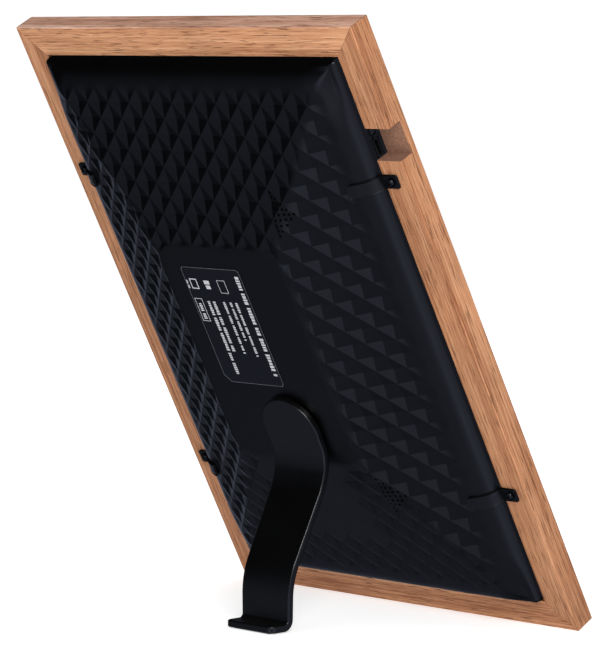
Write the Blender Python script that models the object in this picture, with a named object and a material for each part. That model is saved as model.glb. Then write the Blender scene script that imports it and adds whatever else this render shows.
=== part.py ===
"""Digital photo frame: a wooden picture frame around a tablet-like display with a faceted
plastic back and a turning stand leg.

The frame is modelled upright and flat, then an empty leans it back on its stand.
Panel axes: x = world X, y = depth towards the back with 0 at the back plane of the wood,
z = height above the lower edge. The front of the object faces -Y. Lengths are in metres.
"""
import math

import bmesh
import bpy
from mathutils import Vector
from mathutils.geometry import delaunay_2d_cdt

MM = 0.001

# Wooden frame
FRAME_WIDTH = 188.0 * MM
FRAME_HEIGHT = 264.0 * MM
FRAME_DEPTH = 9.6 * MM
MIDDLE = FRAME_HEIGHT / 2.0
LEAN = math.radians(28.1)
RAIL_WIDTH = 12.4 * MM
LIP_WIDTH = 4.5 * MM
LIP_DEPTH = 2.2 * MM
RAIL_EDGE_RADIUS = 0.6 * MM
MITRE_GAP = 0.1 * MM
# The rounded lower back edge of the wood touches the floor this far above the sharp corner
CONTACT_DROP = RAIL_EDGE_RADIUS * (math.cos(LEAN) + math.sin(LEAN) - 1.0)

# Play between parts, and how far a cutter reaches past what it cuts
GAP = 0.3 * MM
OVERCUT = 1.0 * MM

# Notch in the left rail, seen from the front, that leads to the power socket
NOTCH_BOTTOM = 208.8 * MM
NOTCH_TOP = 222.2 * MM
NOTCH_DEPTH = 6.4 * MM

# Rear shell: a flat plateau with four slopes that curve down to a rounded rim
SHELL_HALF_X = 81.0 * MM
SHELL_HALF_Z = 119.0 * MM
SHELL_CORNER_RADIUS = 1.2 * MM
SHELL_WALL = 2.0 * MM
SHELL_SEAM = -1.6 * MM
RIM_HEIGHT = 3.65 * MM
RIM_ROUND = 3.2 * MM
RIM_BAND = 8.5 * MM
BAND_INSETS = (RIM_BAND, 5.0 * MM, RIM_ROUND, 1.6 * MM, 0.5 * MM)
PLATEAU_HALF_X = 34.3 * MM
PLATEAU_HALF_Z = 48.4 * MM
PLATEAU_CORNER_RADIUS = 10.0 * MM
PLATEAU_HEIGHT = 22.4 * MM
PLATEAU_THICKNESS = 2.4 * MM
SLOPE_X = 0.36
SLOPE_Z = 0.22
CAVITY_EDGE_HEIGHT = 1.0 * MM
CAVITY_INSET = 1.5 * MM

# Diamond pattern on the slopes: a lattice of four-sided dimples
FACET_PITCH_X = 12.3 * MM
FACET_PITCH_Z = 12.2 * MM
FACET_ROW_OFFSET = 1.6 * MM
FACET_DEPTH = 0.8 * MM
FACET_HALF_X = 73.0 * MM
FACET_HALF_Z = 108.0 * MM

# Smooth field under the stand leg, in the lower slope
SMOOTH_LEFT = -22.0 * MM
SMOOTH_RIGHT = 25.0 * MM
SMOOTH_LOW = -93.0 * MM

# Label on the plateau, as seen from behind
LABEL_LOW = (-24.1 * MM, 118.5 * MM)
LABEL_HIGH = (9.5 * MM, 171.8 * MM)
LABEL_LAYER = (PLATEAU_HEIGHT + 0.05 * MM, PLATEAU_HEIGHT + 0.2 * MM)
LABEL_CORNER_RADIUS = 1.2 * MM
LABEL_CHAMFER = 3.2 * MM

# Speakers and their grilles
GRILLE_X = -38.0 * MM
GRILLE_HEIGHTS = (195.0 * MM, 69.2 * MM)
GRILLE_HOLE_RADIUS = 0.55 * MM
GRILLE_SPACING = (2.33 * MM, 2.15 * MM)
GRILLE_REACH = 4
SPEAKER_RADIUS = 9.0 * MM
SPEAKER_THICKNESS = 5.5 * MM
SPEAKER_MAGNET_RADIUS = 5.4 * MM
SPEAKER_MAGNET_TOP = -0.55 * MM
SPEAKER_SURROUND_RADIUS = 7.65 * MM
SPEAKER_COIL_RADIUS = 3.15 * MM
SPEAKER_CAP_RADIUS = 1.35 * MM
SPEAKER_CAP_RISE = 0.56 * MM
SPEAKER_CONE_DEPTH = 1.4 * MM
SPEAKER_HEIGHT = 8.8 * MM
SPEAKER_SHIFT = -4.0 * MM

# Display stack, front to back: each layer is (front face, back face)
GLASS_LAYER = (-7.1 * MM, -6.0 * MM)
MAT_LAYER = (-5.7 * MM, -5.2 * MM)
PANEL_LAYER = (-4.9 * MM, -2.3 * MM)
BACKPLATE_LAYER = (-1.6 * MM, -0.9 * MM)
GLASS_SIZE = (157.4 * MM, 233.4 * MM)
PANEL_SIZE = (149.0 * MM, 229.5 * MM)
PICTURE_SIZE = (135.6 * MM, 217.0 * MM)
SHEET_CORNER_RADIUS = 1.0 * MM
PICTURE_CORNER_RADIUS = 0.5 * MM
BACKPLATE_INSET = 0.8 * MM
BACKPLATE_CORNER_RADIUS = 2.0 * MM
PANEL_SCREW_X = 76.6 * MM
PANEL_SCREW_Z = 60.0 * MM

# Middle housing that carries the display
HOUSING_FRONT = -7.0 * MM
HOUSING_WALL_BACK = -3.3 * MM
HOUSING_WEB_BACK = -1.9 * MM
HOUSING_WEB_INSET = 0.8 * MM
HOUSING_WEB_PLAY = 0.6 * MM

# Main board, with its chips as (name, centre, half size, height, material)
BOARD_CENTRE = (8.0 * MM, 178.0 * MM)
BOARD_SIZE = (76.0 * MM, 72.0 * MM)
BOARD_LAYER = (6.0 * MM, 7.4 * MM)
BOARD_SCREW_INSET = 4.0 * MM
BOARD_SCREW_REACH = 4.0 * MM
STANDOFF_RADIUS = 2.4 * MM
CHIP_SEAT = 0.1 * MM
CHIP_CORNER_RADIUS = 0.6 * MM
CHIPS = (
    ("wifi_shield", (-14.0 * MM, 192.0 * MM), (9.0 * MM, 7.0 * MM), 2.0 * MM, "tin"),
    ("processor", (12.0 * MM, 172.0 * MM), (7.0 * MM, 7.0 * MM), 1.2 * MM, "chip"),
)

# Power socket and button, side by side behind the notch
PORT_DEPTH = -3.65 * MM
SOCKET_SIZE = (5.2 * MM, 2.7 * MM, 7.4 * MM)
SOCKET_HEIGHT = 212.4 * MM
SOCKET_OPENING = (6.4 * MM, 1.8 * MM)
SOCKET_FLOOR = 1.0 * MM
SOCKET_RECESS = 0.2 * MM
BUTTON_SIZE = (2.2 * MM, 2.3 * MM, 2.8 * MM)
BUTTON_HEIGHT = 219.4 * MM
BUTTON_RECESS = 0.3 * MM
BUTTON_TRAVEL = 0.4 * MM
SWITCH_DEPTH = 1.6 * MM

# Ribbons: one from the display, one from the ports, both to the board
FLEX_WIDTH = 30.0 * MM
FLEX_THICKNESS = 0.3 * MM
FLEX_BEND = 1.0 * MM
FLEX_SEAT = 0.2 * MM
FLEX_SLOT = (124.0 * MM, 128.0 * MM)
FLEX_TAIL = 6.0 * MM
FLEX_RISE = 125.5 * MM
FLEX_OVERLAP = 8.0 * MM
PORT_FLEX_ENTRY = 70.0 * MM
PORT_FLEX_HEIGHTS = (206.0 * MM, 213.0 * MM)
PORT_FLEX_MARGIN = 1.0 * MM
PORT_FLEX_DEPTH = 0.4 * MM
PORT_FLEX_STEPS = (3.0 * MM, 1.0 * MM)
PORT_FLEX_CLIMB = (6.0 * MM, 2.0 * MM)
PORT_FLEX_OVERLAP = 1.2 * MM

# Aerial: half sizes along x, z and y
ANTENNA_V = 98.0 * MM
ANTENNA_DROP = 0.7 * MM
ANTENNA_HALF = (20.0 * MM, 4.0 * MM, 0.2 * MM)

# Screws
M2_RADIUS = 0.95 * MM
M2_HEAD_RADIUS = 1.8 * MM
M2_HEAD_HEIGHT = 1.2 * MM
HEAD_CROWN = 0.35
HEAD_TOP_RATIO = 0.75
TIP_TAPER = 0.5
TIP_LENGTH = 0.25

# Retaining clips
CLIP_HEIGHTS = (200.4 * MM, 62.9 * MM)
CLIP_SCREW_X = 86.0 * MM
CLIP_WIDTH = 5.4 * MM
CLIP_THICKNESS = 0.8 * MM
CLIP_TAB_REACH = 3.2 * MM
CLIP_SEAT = 0.2 * MM
CLIP_LIFT = 0.35 * MM
CLIP_INSETS = (0.0, 0.4 * MM, 1.0 * MM, 1.8 * MM, 3.2 * MM, 5.0 * MM, 7.2 * MM, 9.5 * MM)
CLIP_SHANK_RADIUS = 1.1 * MM
CLIP_SCREW_REACH = 5.0 * MM
CLIP_HEAD_RADIUS = 2.1 * MM
CLIP_HEAD_HEIGHT = 1.3 * MM
CLIP_HEAD_SEAT = 0.1 * MM

# Stand. The knees are (distance behind the lower edge, height above the floor)
HUB_X = -6.0 * MM
HUB_Z = 100.0 * MM
HEAD_RADIUS = 14.5 * MM
HEAD_CLEARANCE = 0.4 * MM
LEG_HALF_WIDTH = 14.2 * MM
FOOT_HALF_WIDTH = 13.0 * MM
LEG_THICKNESS = 2.8 * MM
LEG_EDGE_RADIUS = 0.6 * MM
FOOT_BACK = 92.5 * MM
FOOT_CORNER_RADIUS = 2.5 * MM
PAD_DROP = 0.4 * MM
LEG_DROP_BACK = 61.0 * MM
LEG_KNEES = ((64.0 * MM, 53.3 * MM), (80.6 * MM, 19.7 * MM), (80.7 * MM, PAD_DROP))
LEG_BENDS = (18.0 * MM, 30.0 * MM, 30.0 * MM, 4.5 * MM)
PAD_SPAN = (84.6 * MM, 90.6 * MM)
PAD_HALF_WIDTH = 10.0 * MM
PAD_THICKNESS = 0.9 * MM
BOSS_RADIUS = 8.0 * MM
BOSS_END = 18.4 * MM
SPRING_THICKNESS = 0.6 * MM
SPRING_RADIUS = 11.0 * MM
RETAINER_THICKNESS = 1.0 * MM
RETAINER_RADIUS = 12.0 * MM
PIVOT_SCREW_RADIUS = 1.5 * MM
PIVOT_HEAD_RADIUS = 3.0 * MM
PIVOT_HEAD_HEIGHT = 2.0 * MM

# Fineness of round shapes
WELD = 1e-7
SMOOTH_ANGLE = math.radians(35.0)
RAIL_EDGE_SEGMENTS = 3
PLATEAU_CORNER_SEGMENTS = 6
LABEL_CORNER_SEGMENTS = 3
HOLE_SEGMENTS = 16
SCREW_SEGMENTS = 16
STANDOFF_SIDES = 6
PIVOT_SEGMENTS = 32
SPEAKER_SEGMENTS = 24
GRILLE_HOLE_SIDES = 6
FLEX_SEGMENTS = 3
LEG_BEND_SEGMENTS = 6
HEAD_SEGMENTS = 36
FOOT_CORNER_SEGMENTS = 4


# ---------------------------------------------------------------- scene helpers

def clear_scene():
    for obj in list(bpy.data.objects):
        bpy.data.objects.remove(obj, do_unlink=True)


def make_material(name, colour, roughness, metallic=0.0):
    material = bpy.data.materials.new(name)
    material.use_nodes = True
    shader = material.node_tree.nodes["Principled BSDF"]
    shader.inputs["Base Color"].default_value = (*colour, 1.0)
    shader.inputs["Roughness"].default_value = roughness
    shader.inputs["Metallic"].default_value = metallic
    material.diffuse_color = (*colour, 1.0)
    return material


def add_empty(name, parent, location, rotation=(0.0, 0.0, 0.0)):
    empty = bpy.data.objects.new(name, None)
    empty.parent = parent
    empty.location = location
    empty.rotation_euler = rotation
    bpy.context.scene.collection.objects.link(empty)
    return empty


def add_object(name, mesh, material, parent, location=(0.0, 0.0, 0.0), rotation=(0.0, 0.0, 0.0)):
    if not mesh.materials:
        mesh.materials.append(material)
    obj = bpy.data.objects.new(name, mesh)
    obj.parent = parent
    obj.location = location
    obj.rotation_euler = rotation
    bpy.context.scene.collection.objects.link(obj)
    return obj


def apply_cutter(target, cutter, operation="DIFFERENCE"):
    """Cut the target, or join it, with a helper object that is itself never part of the model."""
    cutter.hide_render = True
    cutter.display_type = "WIRE"
    modifier = target.modifiers.new(cutter.name, "BOOLEAN")
    modifier.operation = operation
    modifier.solver = "EXACT"
    modifier.object = cutter


def cut_box(target, low, high, name):
    cutter = add_object(name, box_mesh(name, low, high), MATERIALS["cutter"], target.parent)
    apply_cutter(target, cutter)


def cut_cylinder(target, centre, radius, layer, name):
    """Cut a round hole along y, centred at (x, z), through the layer (from, to)."""
    mesh = turned_mesh(name, [(radius, layer[0]), (radius, layer[1])], HOLE_SEGMENTS)
    place = (centre[0], 0.0, centre[1])
    cutter = add_object(name, mesh, MATERIALS["cutter"], target.parent, place)
    apply_cutter(target, cutter)


# ---------------------------------------------------------------- outlines in a plane

def fillet_outline(corners, segments, closed=True):
    """Turn corners (a, b, radius) into points, with each corner of non-zero radius as an arc."""
    points = []
    last = len(corners) - 1
    for index, (a, b, radius) in enumerate(corners):
        here = Vector((a, b))
        if radius <= 0.0 or (not closed and index in (0, last)):
            points.append(here)
            continue
        backward = (Vector(corners[index - 1][:2]) - here).normalized()
        forward = (Vector(corners[(index + 1) % len(corners)][:2]) - here).normalized()
        half_angle = math.acos(backward.dot(forward)) / 2.0
        centre = here + (backward + forward).normalized() * (radius / math.sin(half_angle))
        reach = radius / math.tan(half_angle)
        start = here + backward * reach - centre
        end = here + forward * reach - centre
        first = math.atan2(start.y, start.x)
        sweep = math.remainder(math.atan2(end.y, end.x) - first, 2.0 * math.pi)
        for step in range(segments + 1):
            angle = first + sweep * step / segments
            points.append(centre + radius * Vector((math.cos(angle), math.sin(angle))))
    return points


def rectangle(half_a, half_b, radius=0.0, segments=4, centre=(0.0, 0.0)):
    ca, cb = centre
    corners = [
        (ca + half_a, cb - half_b, radius),
        (ca + half_a, cb + half_b, radius),
        (ca - half_a, cb + half_b, radius),
        (ca - half_a, cb - half_b, radius),
    ]
    return fillet_outline(corners, segments)


def circle(centre, radius, segments):
    angles = [2.0 * math.pi * step / segments for step in range(segments)]
    return [Vector(centre) + radius * Vector((math.cos(t), math.sin(t))) for t in angles]


def contains(loop, point):
    """Even-odd test of a point against a closed outline."""
    inside = False
    for (ax, ay), (bx, by) in zip(loop, loop[1:] + loop[:1]):
        if (ay > point[1]) != (by > point[1]):
            crossing = ax + (point[1] - ay) * (bx - ax) / (by - ay)
            inside = inside != (point[0] < crossing)
    return inside


# ---------------------------------------------------------------- solids

def mesh_from(name, vertices, faces, smooth_angle=None):
    mesh = bpy.data.meshes.new(name)
    bm = bmesh.new()
    verts = [bm.verts.new(v) for v in vertices]
    for face in faces:
        bm.faces.new([verts[index] for index in face])
    bmesh.ops.remove_doubles(bm, verts=bm.verts, dist=WELD)
    bmesh.ops.recalc_face_normals(bm, faces=bm.faces)
    bm.to_mesh(mesh)
    bm.free()
    if smooth_angle is not None:
        mesh.shade_smooth()
        mesh.set_sharp_from_angle(angle=smooth_angle)
    return mesh


def loft_mesh(name, loops, closed=False, smooth_angle=None):
    """Join loops of equally many points: capped at both ends, or closed into a ring."""
    size = len(loops[0])
    vertices = [point for loop in loops for point in loop]
    faces = []
    spans = len(loops) if closed else len(loops) - 1
    for span in range(spans):
        here = span * size
        there = (span + 1) % len(loops) * size
        for step in range(size):
            following = (step + 1) % size
            faces.append((here + step, here + following, there + following, there + step))
    if not closed:
        faces.append(tuple(range(size)))
        faces.append(tuple(range(len(vertices) - size, len(vertices))))
    return mesh_from(name, vertices, faces, smooth_angle)


def at_depth(outline, depth):
    """Lift an outline in (x, z) to the depth y."""
    return [Vector((x, depth, z)) for x, z in outline]


def plate_mesh(name, outline, layer):
    return loft_mesh(name, [at_depth(outline, layer[0]), at_depth(outline, layer[1])])


def frame_mesh(name, outer, inner, layer):
    """A flat frame between two outlines with equally many points."""
    front, back = layer
    loops = [at_depth(outer, front), at_depth(outer, back), at_depth(inner, back), at_depth(inner, front)]
    return loft_mesh(name, loops, closed=True)


def box_mesh(name, low, high):
    outline = [(low[0], low[2]), (high[0], low[2]), (high[0], high[2]), (low[0], high[2])]
    return plate_mesh(name, outline, (low[1], high[1]))


def turned_mesh(name, profile, segments, closed=False):
    """Turn a profile of (radius, y) around the y axis, as a solid or as a closed ring."""
    loops = [at_depth(circle((0.0, 0.0), radius, segments), depth) for radius, depth in profile]
    return loft_mesh(name, loops, closed, SMOOTH_ANGLE)


def washer_profile(inner, outer, layer):
    return [(inner, layer[0]), (outer, layer[0]), (outer, layer[1]), (inner, layer[1])]


def screw_mesh(name, shank_radius, shank_tip, head_radius, head_layer):
    """A pan-head screw along y, with its shank running from the head to the tip."""
    under, top = head_layer
    crown = top - (top - under) * HEAD_CROWN
    profile = [
        (shank_radius * TIP_TAPER, shank_tip),
        (shank_radius, shank_tip + (under - shank_tip) * TIP_LENGTH),
        (shank_radius, under),
        (head_radius, under),
        (head_radius, crown),
        (head_radius * HEAD_TOP_RATIO, top),
    ]
    return turned_mesh(name, profile, SCREW_SEGMENTS)


def fill_region(outer, holes=(), lines=()):
    """Triangulate the region between an outline and its holes, creased along the given lines."""
    points = []
    edges = []
    for loop in (outer, *holes):
        start = len(points)
        points.extend(loop)
        edges.extend((start + step, start + (step + 1) % len(loop)) for step in range(len(loop)))
    for line in lines:
        start = len(points)
        points.extend(line)
        edges.extend((start + step, start + step + 1) for step in range(len(line) - 1))
    vertices, _, triangles = delaunay_2d_cdt([Vector(p) for p in points], edges, [], 0, WELD)[:3]
    kept = []
    for triangle in triangles:
        middle = sum((vertices[index] for index in triangle), Vector((0.0, 0.0))) / 3.0
        if contains(outer, middle) and not any(contains(hole, middle) for hole in holes):
            kept.append(tuple(triangle))
    return vertices, kept


def boundary_loops(vertices, triangles):
    """The outlines around a triangulated region, the outer one first."""
    sides = [side for a, b, c in triangles for side in ((a, b), (b, c), (c, a))]
    present = set(sides)
    following = {a: b for a, b in sides if (b, a) not in present}
    loops = []
    while following:
        start, step = next(iter(following.items()))
        loop = [start]
        while step != start:
            loop.append(step)
            step = following[step]
        for index in loop:
            del following[index]
        loops.append([vertices[index] for index in loop])
    return sorted(loops, key=lambda loop: -max(point.length for point in loop))


# ---------------------------------------------------------------- wooden frame

def rail_profile():
    """Section of a rail as (distance in from the outer face, depth), with its front lip."""
    inner = RAIL_WIDTH + LIP_WIDTH
    lip_back = LIP_DEPTH - FRAME_DEPTH
    corners = [
        (0.0, -FRAME_DEPTH, RAIL_EDGE_RADIUS),
        (inner, -FRAME_DEPTH, RAIL_EDGE_RADIUS),
        (inner, lip_back, 0.0),
        (RAIL_WIDTH, lip_back, 0.0),
        (RAIL_WIDTH, 0.0, RAIL_EDGE_RADIUS),
        (0.0, 0.0, RAIL_EDGE_RADIUS),
    ]
    return fillet_outline(corners, RAIL_EDGE_SEGMENTS)


def rail_mesh(name, length, place):
    """A rail with mitred ends. place(along, inward, depth) puts a section point on its side."""
    loops = []
    for end in (-1.0, 1.0):
        loop = []
        for inward, depth in rail_profile():
            along = end * (length / 2.0 - inward - MITRE_GAP / math.sqrt(2.0))
            loop.append(place(along, inward, depth))
        loops.append(loop)
    return loft_mesh(name, loops)


def make_rails(panel):
    right = FRAME_WIDTH / 2.0
    places = {
        "rail_bottom": (FRAME_WIDTH, lambda a, inward, depth: Vector((a, depth, inward))),
        "rail_top": (FRAME_WIDTH, lambda a, inward, depth: Vector((a, depth, FRAME_HEIGHT - inward))),
        "rail_left": (FRAME_HEIGHT, lambda a, inward, depth: Vector((inward - right, depth, MIDDLE + a))),
        "rail_right": (FRAME_HEIGHT, lambda a, inward, depth: Vector((right - inward, depth, MIDDLE + a))),
    }
    rails = {}
    for name, (length, place) in places.items():
        mesh = rail_mesh(name, length, place)
        rails[name] = add_object(name, mesh, MATERIALS["wood"], panel)
    cut_notch(rails["rail_left"])
    pilot = (-CLIP_SCREW_REACH - GAP, RAIL_WIDTH)
    for side, name in ((-1.0, "rail_left"), (1.0, "rail_right")):
        for number, height in enumerate(CLIP_HEIGHTS, start=1):
            centre = (side * CLIP_SCREW_X, height)
            cut_cylinder(rails[name], centre, CLIP_SHANK_RADIUS + GAP, pilot, f"{name}_pilot_{number}")


def cut_notch(rail):
    outside = -FRAME_WIDTH
    inside = -FRAME_WIDTH / 2.0 + RAIL_WIDTH + LIP_WIDTH / 2.0
    low = (outside, -NOTCH_DEPTH, NOTCH_BOTTOM)
    high = (inside, RAIL_WIDTH, NOTCH_TOP)
    cut_box(rail, low, high, "notch_cutter")


# ---------------------------------------------------------------- rear shell

def slope_height(distance, half_size, plateau_half, slope):
    """Height of one pair of slopes, falling to the rim in a rounded band along the edge."""
    plane = PLATEAU_HEIGHT - slope * (abs(distance) - plateau_half)
    plane_at_rim = PLATEAU_HEIGHT - slope * (half_size - plateau_half)
    inset = half_size - abs(distance)
    drop = (plane_at_rim - RIM_HEIGHT) * max(0.0, 1.0 - inset / RIM_BAND) ** 2
    return plane - drop


def rim_rounding(inset):
    """How far the rounded rim falls below the curve of the band, this far in from the edge."""
    bite = min(RIM_ROUND, max(0.0, RIM_ROUND - inset))
    return RIM_ROUND - math.sqrt(RIM_ROUND**2 - bite**2)


def base_height(x, v):
    """Height of the shell without its dimples. v is measured up from the middle of the frame."""
    side = slope_height(x, SHELL_HALF_X, PLATEAU_HALF_X, SLOPE_X)
    end = slope_height(v, SHELL_HALF_Z, PLATEAU_HALF_Z, SLOPE_Z)
    inset = min(SHELL_HALF_X - abs(x), SHELL_HALF_Z - abs(v))
    return max(RIM_HEIGHT, min(PLATEAU_HEIGHT, side, end)) - rim_rounding(inset)


def cavity_height(x, v):
    """Height of the shell's inner surface."""
    roof = PLATEAU_HEIGHT - PLATEAU_THICKNESS
    rise = roof - CAVITY_EDGE_HEIGHT
    heights = [roof]
    for distance, half_size, plateau_half in (
        (abs(x), SHELL_HALF_X - SHELL_WALL, PLATEAU_HALF_X - CAVITY_INSET),
        (abs(v), SHELL_HALF_Z - SHELL_WALL, PLATEAU_HALF_Z - CAVITY_INSET),
    ):
        heights.append(CAVITY_EDGE_HEIGHT + rise * (half_size - distance) / (half_size - plateau_half))
    return max(CAVITY_EDGE_HEIGHT, min(heights))


def plateau_outline():
    return rectangle(PLATEAU_HALF_X, PLATEAU_HALF_Z, PLATEAU_CORNER_RADIUS, PLATEAU_CORNER_SEGMENTS)


def smooth_outline():
    """The plain field below the plateau, which the leg stands over."""
    top = -PLATEAU_HALF_Z + PLATEAU_CORNER_RADIUS
    return [
        Vector((SMOOTH_LEFT, SMOOTH_LOW)),
        Vector((SMOOTH_RIGHT, SMOOTH_LOW)),
        Vector((SMOOTH_RIGHT, top)),
        Vector((SMOOTH_LEFT, top)),
    ]


def is_dimpled(x, v):
    in_field = abs(x) < FACET_HALF_X and abs(v) < FACET_HALF_Z
    return in_field and not contains(plateau_outline(), (x, v)) and not contains(smooth_outline(), (x, v))


def dimple_depth(x, v):
    """Depth of the diamond lattice: deepest in the middle of a diamond, zero on its sides."""
    a = x / (FACET_PITCH_X / 2.0)
    b = (v - FACET_ROW_OFFSET) / (FACET_PITCH_Z / 2.0)
    rising = (a + b) % 2.0 - 1.0
    falling = (a - b) % 2.0 - 1.0
    return FACET_DEPTH * (1.0 - max(abs(rising), abs(falling)))


def shell_height(x, v):
    height = base_height(x, v)
    if is_dimpled(x, v):
        height -= dimple_depth(x, v)
    return height


def dimple_lines():
    """Sides and ridges of every diamond whose middle lies in the dimpled field."""
    half_x = FACET_PITCH_X / 2.0
    half_z = FACET_PITCH_Z / 2.0
    columns = int(FACET_HALF_X / half_x) + 1
    rows = int(FACET_HALF_Z / half_z) + 1
    lines = []
    for column in range(-columns, columns + 1):
        for row in range(-rows, rows + 1):
            middle = Vector((column * half_x, FACET_ROW_OFFSET + row * half_z))
            if (column + row) % 2 == 0 or not is_dimpled(*middle):
                continue
            across = Vector((half_x, 0.0))
            along = Vector((0.0, half_z))
            corners = [middle + across, middle + along, middle - across, middle - along]
            lines.append(corners + corners[:1])
            lines.append([corners[0], middle, corners[2]])
            lines.append([corners[1], middle, corners[3]])
    return lines


def crease_lines():
    """The four ridges from the plateau to the rim, outside and inside."""
    lines = []
    band_x = SHELL_HALF_X - RIM_BAND
    band_z = PLATEAU_HALF_Z + (band_x - PLATEAU_HALF_X) * SLOPE_X / SLOPE_Z
    curve = PLATEAU_CORNER_RADIUS * (1.0 - math.sqrt(0.5))
    arc = SHELL_CORNER_RADIUS * (1.0 - math.sqrt(0.5))
    for side in (-1.0, 1.0):
        for end in (-1.0, 1.0):
            lines.append([
                Vector((side * (PLATEAU_HALF_X - curve), end * (PLATEAU_HALF_Z - curve))),
                Vector((side * band_x, end * band_z)),
                Vector((side * (SHELL_HALF_X - arc), end * (SHELL_HALF_Z - arc))),
            ])
            lines.append([
                Vector((side * (PLATEAU_HALF_X - CAVITY_INSET), end * (PLATEAU_HALF_Z - CAVITY_INSET))),
                Vector((side * (SHELL_HALF_X - SHELL_WALL), end * (SHELL_HALF_Z - SHELL_WALL))),
            ])
    return lines


def grille_holes():
    """A triangle of small sound holes over each speaker, with an upright row along its inner side."""
    holes = []
    for height in GRILLE_HEIGHTS:
        for column in range(GRILLE_REACH + 1):
            rows = GRILLE_REACH - column
            for row in range(-rows, rows + 1):
                offset = Vector((-column * GRILLE_SPACING[0], row * GRILLE_SPACING[1]))
                middle = Vector((GRILLE_X, height - MIDDLE)) + offset
                holes.append(circle(middle, GRILLE_HOLE_RADIUS, GRILLE_HOLE_SIDES))
    return holes


def band_outlines():
    """Outlines that carry the curve of the rim band and the rounding of the rim."""
    lines = []
    for inset in BAND_INSETS:
        radius = max(SHELL_CORNER_RADIUS - inset, SHEET_CORNER_RADIUS)
        loop = rectangle(SHELL_HALF_X - inset, SHELL_HALF_Z - inset, radius)
        lines.append(loop + loop[:1])
    return lines


def shell_mesh(name):
    """Dimpled outer surface, smooth cavity, and the walls that close them into one body."""
    outer = rectangle(SHELL_HALF_X, SHELL_HALF_Z, SHELL_CORNER_RADIUS)
    cavity = rectangle(SHELL_HALF_X - SHELL_WALL, SHELL_HALF_Z - SHELL_WALL, SHEET_CORNER_RADIUS)
    plateau = plateau_outline()
    roof = rectangle(PLATEAU_HALF_X - CAVITY_INSET, PLATEAU_HALF_Z - CAVITY_INSET)
    pivot = circle((HUB_X, HUB_Z - MIDDLE), BOSS_RADIUS + HEAD_CLEARANCE, PIVOT_SEGMENTS)
    holes = [pivot] + grille_holes()
    creases = crease_lines()
    roof_line = roof + roof[:1]
    lines = creases + dimple_lines() + band_outlines() + [plateau + plateau[:1], roof_line]
    top, top_triangles = fill_region(outer, holes, lines)
    rim, *openings = boundary_loops(top, top_triangles)
    inner, inner_triangles = fill_region(cavity, openings, creases + [roof_line])
    cavity_rim = boundary_loops(inner, inner_triangles)[0]
    seam, seam_triangles = fill_region(rim, [cavity_rim])

    vertices = []
    faces = []

    def add_surface(points, triangles, height_of):
        start = len(vertices)
        vertices.extend(Vector((x, height_of(x, v), MIDDLE + v)) for x, v in points)
        faces.extend(tuple(start + index for index in triangle) for triangle in triangles)

    def add_wall(loop, upper, lower):
        start = len(vertices)
        vertices.extend(Vector((x, upper(x, v), MIDDLE + v)) for x, v in loop)
        vertices.extend(Vector((x, lower(x, v), MIDDLE + v)) for x, v in loop)
        size = len(loop)
        for step in range(size):
            following = (step + 1) % size
            faces.append((start + step, start + following, start + size + following, start + size + step))

    def seam_height(x, v):
        return SHELL_SEAM

    rim_points = {(round(x / WELD), round(v / WELD)) for x, v in rim}

    def top_height(x, v):
        on_rim = (round(x / WELD), round(v / WELD)) in rim_points
        return RIM_HEIGHT - RIM_ROUND if on_rim else shell_height(x, v)

    add_surface(top, top_triangles, top_height)
    add_surface(inner, inner_triangles, cavity_height)
    add_surface(seam, seam_triangles, seam_height)
    add_wall(rim, top_height, seam_height)
    add_wall(cavity_rim, cavity_height, seam_height)
    for opening in openings:
        add_wall(opening, top_height, cavity_height)
    return mesh_from(name, vertices, faces)


def make_shell(panel):
    add_object("rear_shell", shell_mesh("rear_shell"), MATERIALS["black_plastic"], panel)
    low, high = LABEL_LOW, LABEL_HIGH
    corners = [
        (high[0], low[1], LABEL_CORNER_RADIUS),
        (high[0], high[1], LABEL_CORNER_RADIUS),
        (low[0], high[1], LABEL_CORNER_RADIUS),
        (low[0], low[1] + LABEL_CHAMFER, 0.0),
        (low[0] + LABEL_CHAMFER, low[1], 0.0),
    ]
    outline = [(-x, z) for x, z in fillet_outline(corners, LABEL_CORNER_SEGMENTS)]
    mesh = plate_mesh("rating_label", outline, LABEL_LAYER)
    add_object("rating_label", mesh, MATERIALS["label"], panel)


# ---------------------------------------------------------------- display and housing

def make_display(panel):
    centre = (0.0, MIDDLE)
    glass = rectangle(GLASS_SIZE[0] / 2.0, GLASS_SIZE[1] / 2.0, SHEET_CORNER_RADIUS, centre=centre)
    window = rectangle(PICTURE_SIZE[0] / 2.0, PICTURE_SIZE[1] / 2.0, PICTURE_CORNER_RADIUS, centre=centre)
    outline = rectangle(PANEL_SIZE[0] / 2.0, PANEL_SIZE[1] / 2.0, SHEET_CORNER_RADIUS, centre=centre)
    add_object("front_glass", plate_mesh("front_glass", glass, GLASS_LAYER), MATERIALS["glass"], panel)
    mat = frame_mesh("mat_border", glass, window, MAT_LAYER)
    add_object("mat_border", mat, MATERIALS["mat"], panel)
    screen = plate_mesh("display_panel", outline, PANEL_LAYER)
    add_object("display_panel", screen, MATERIALS["screen"], panel)
    make_backplate(panel)


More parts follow.
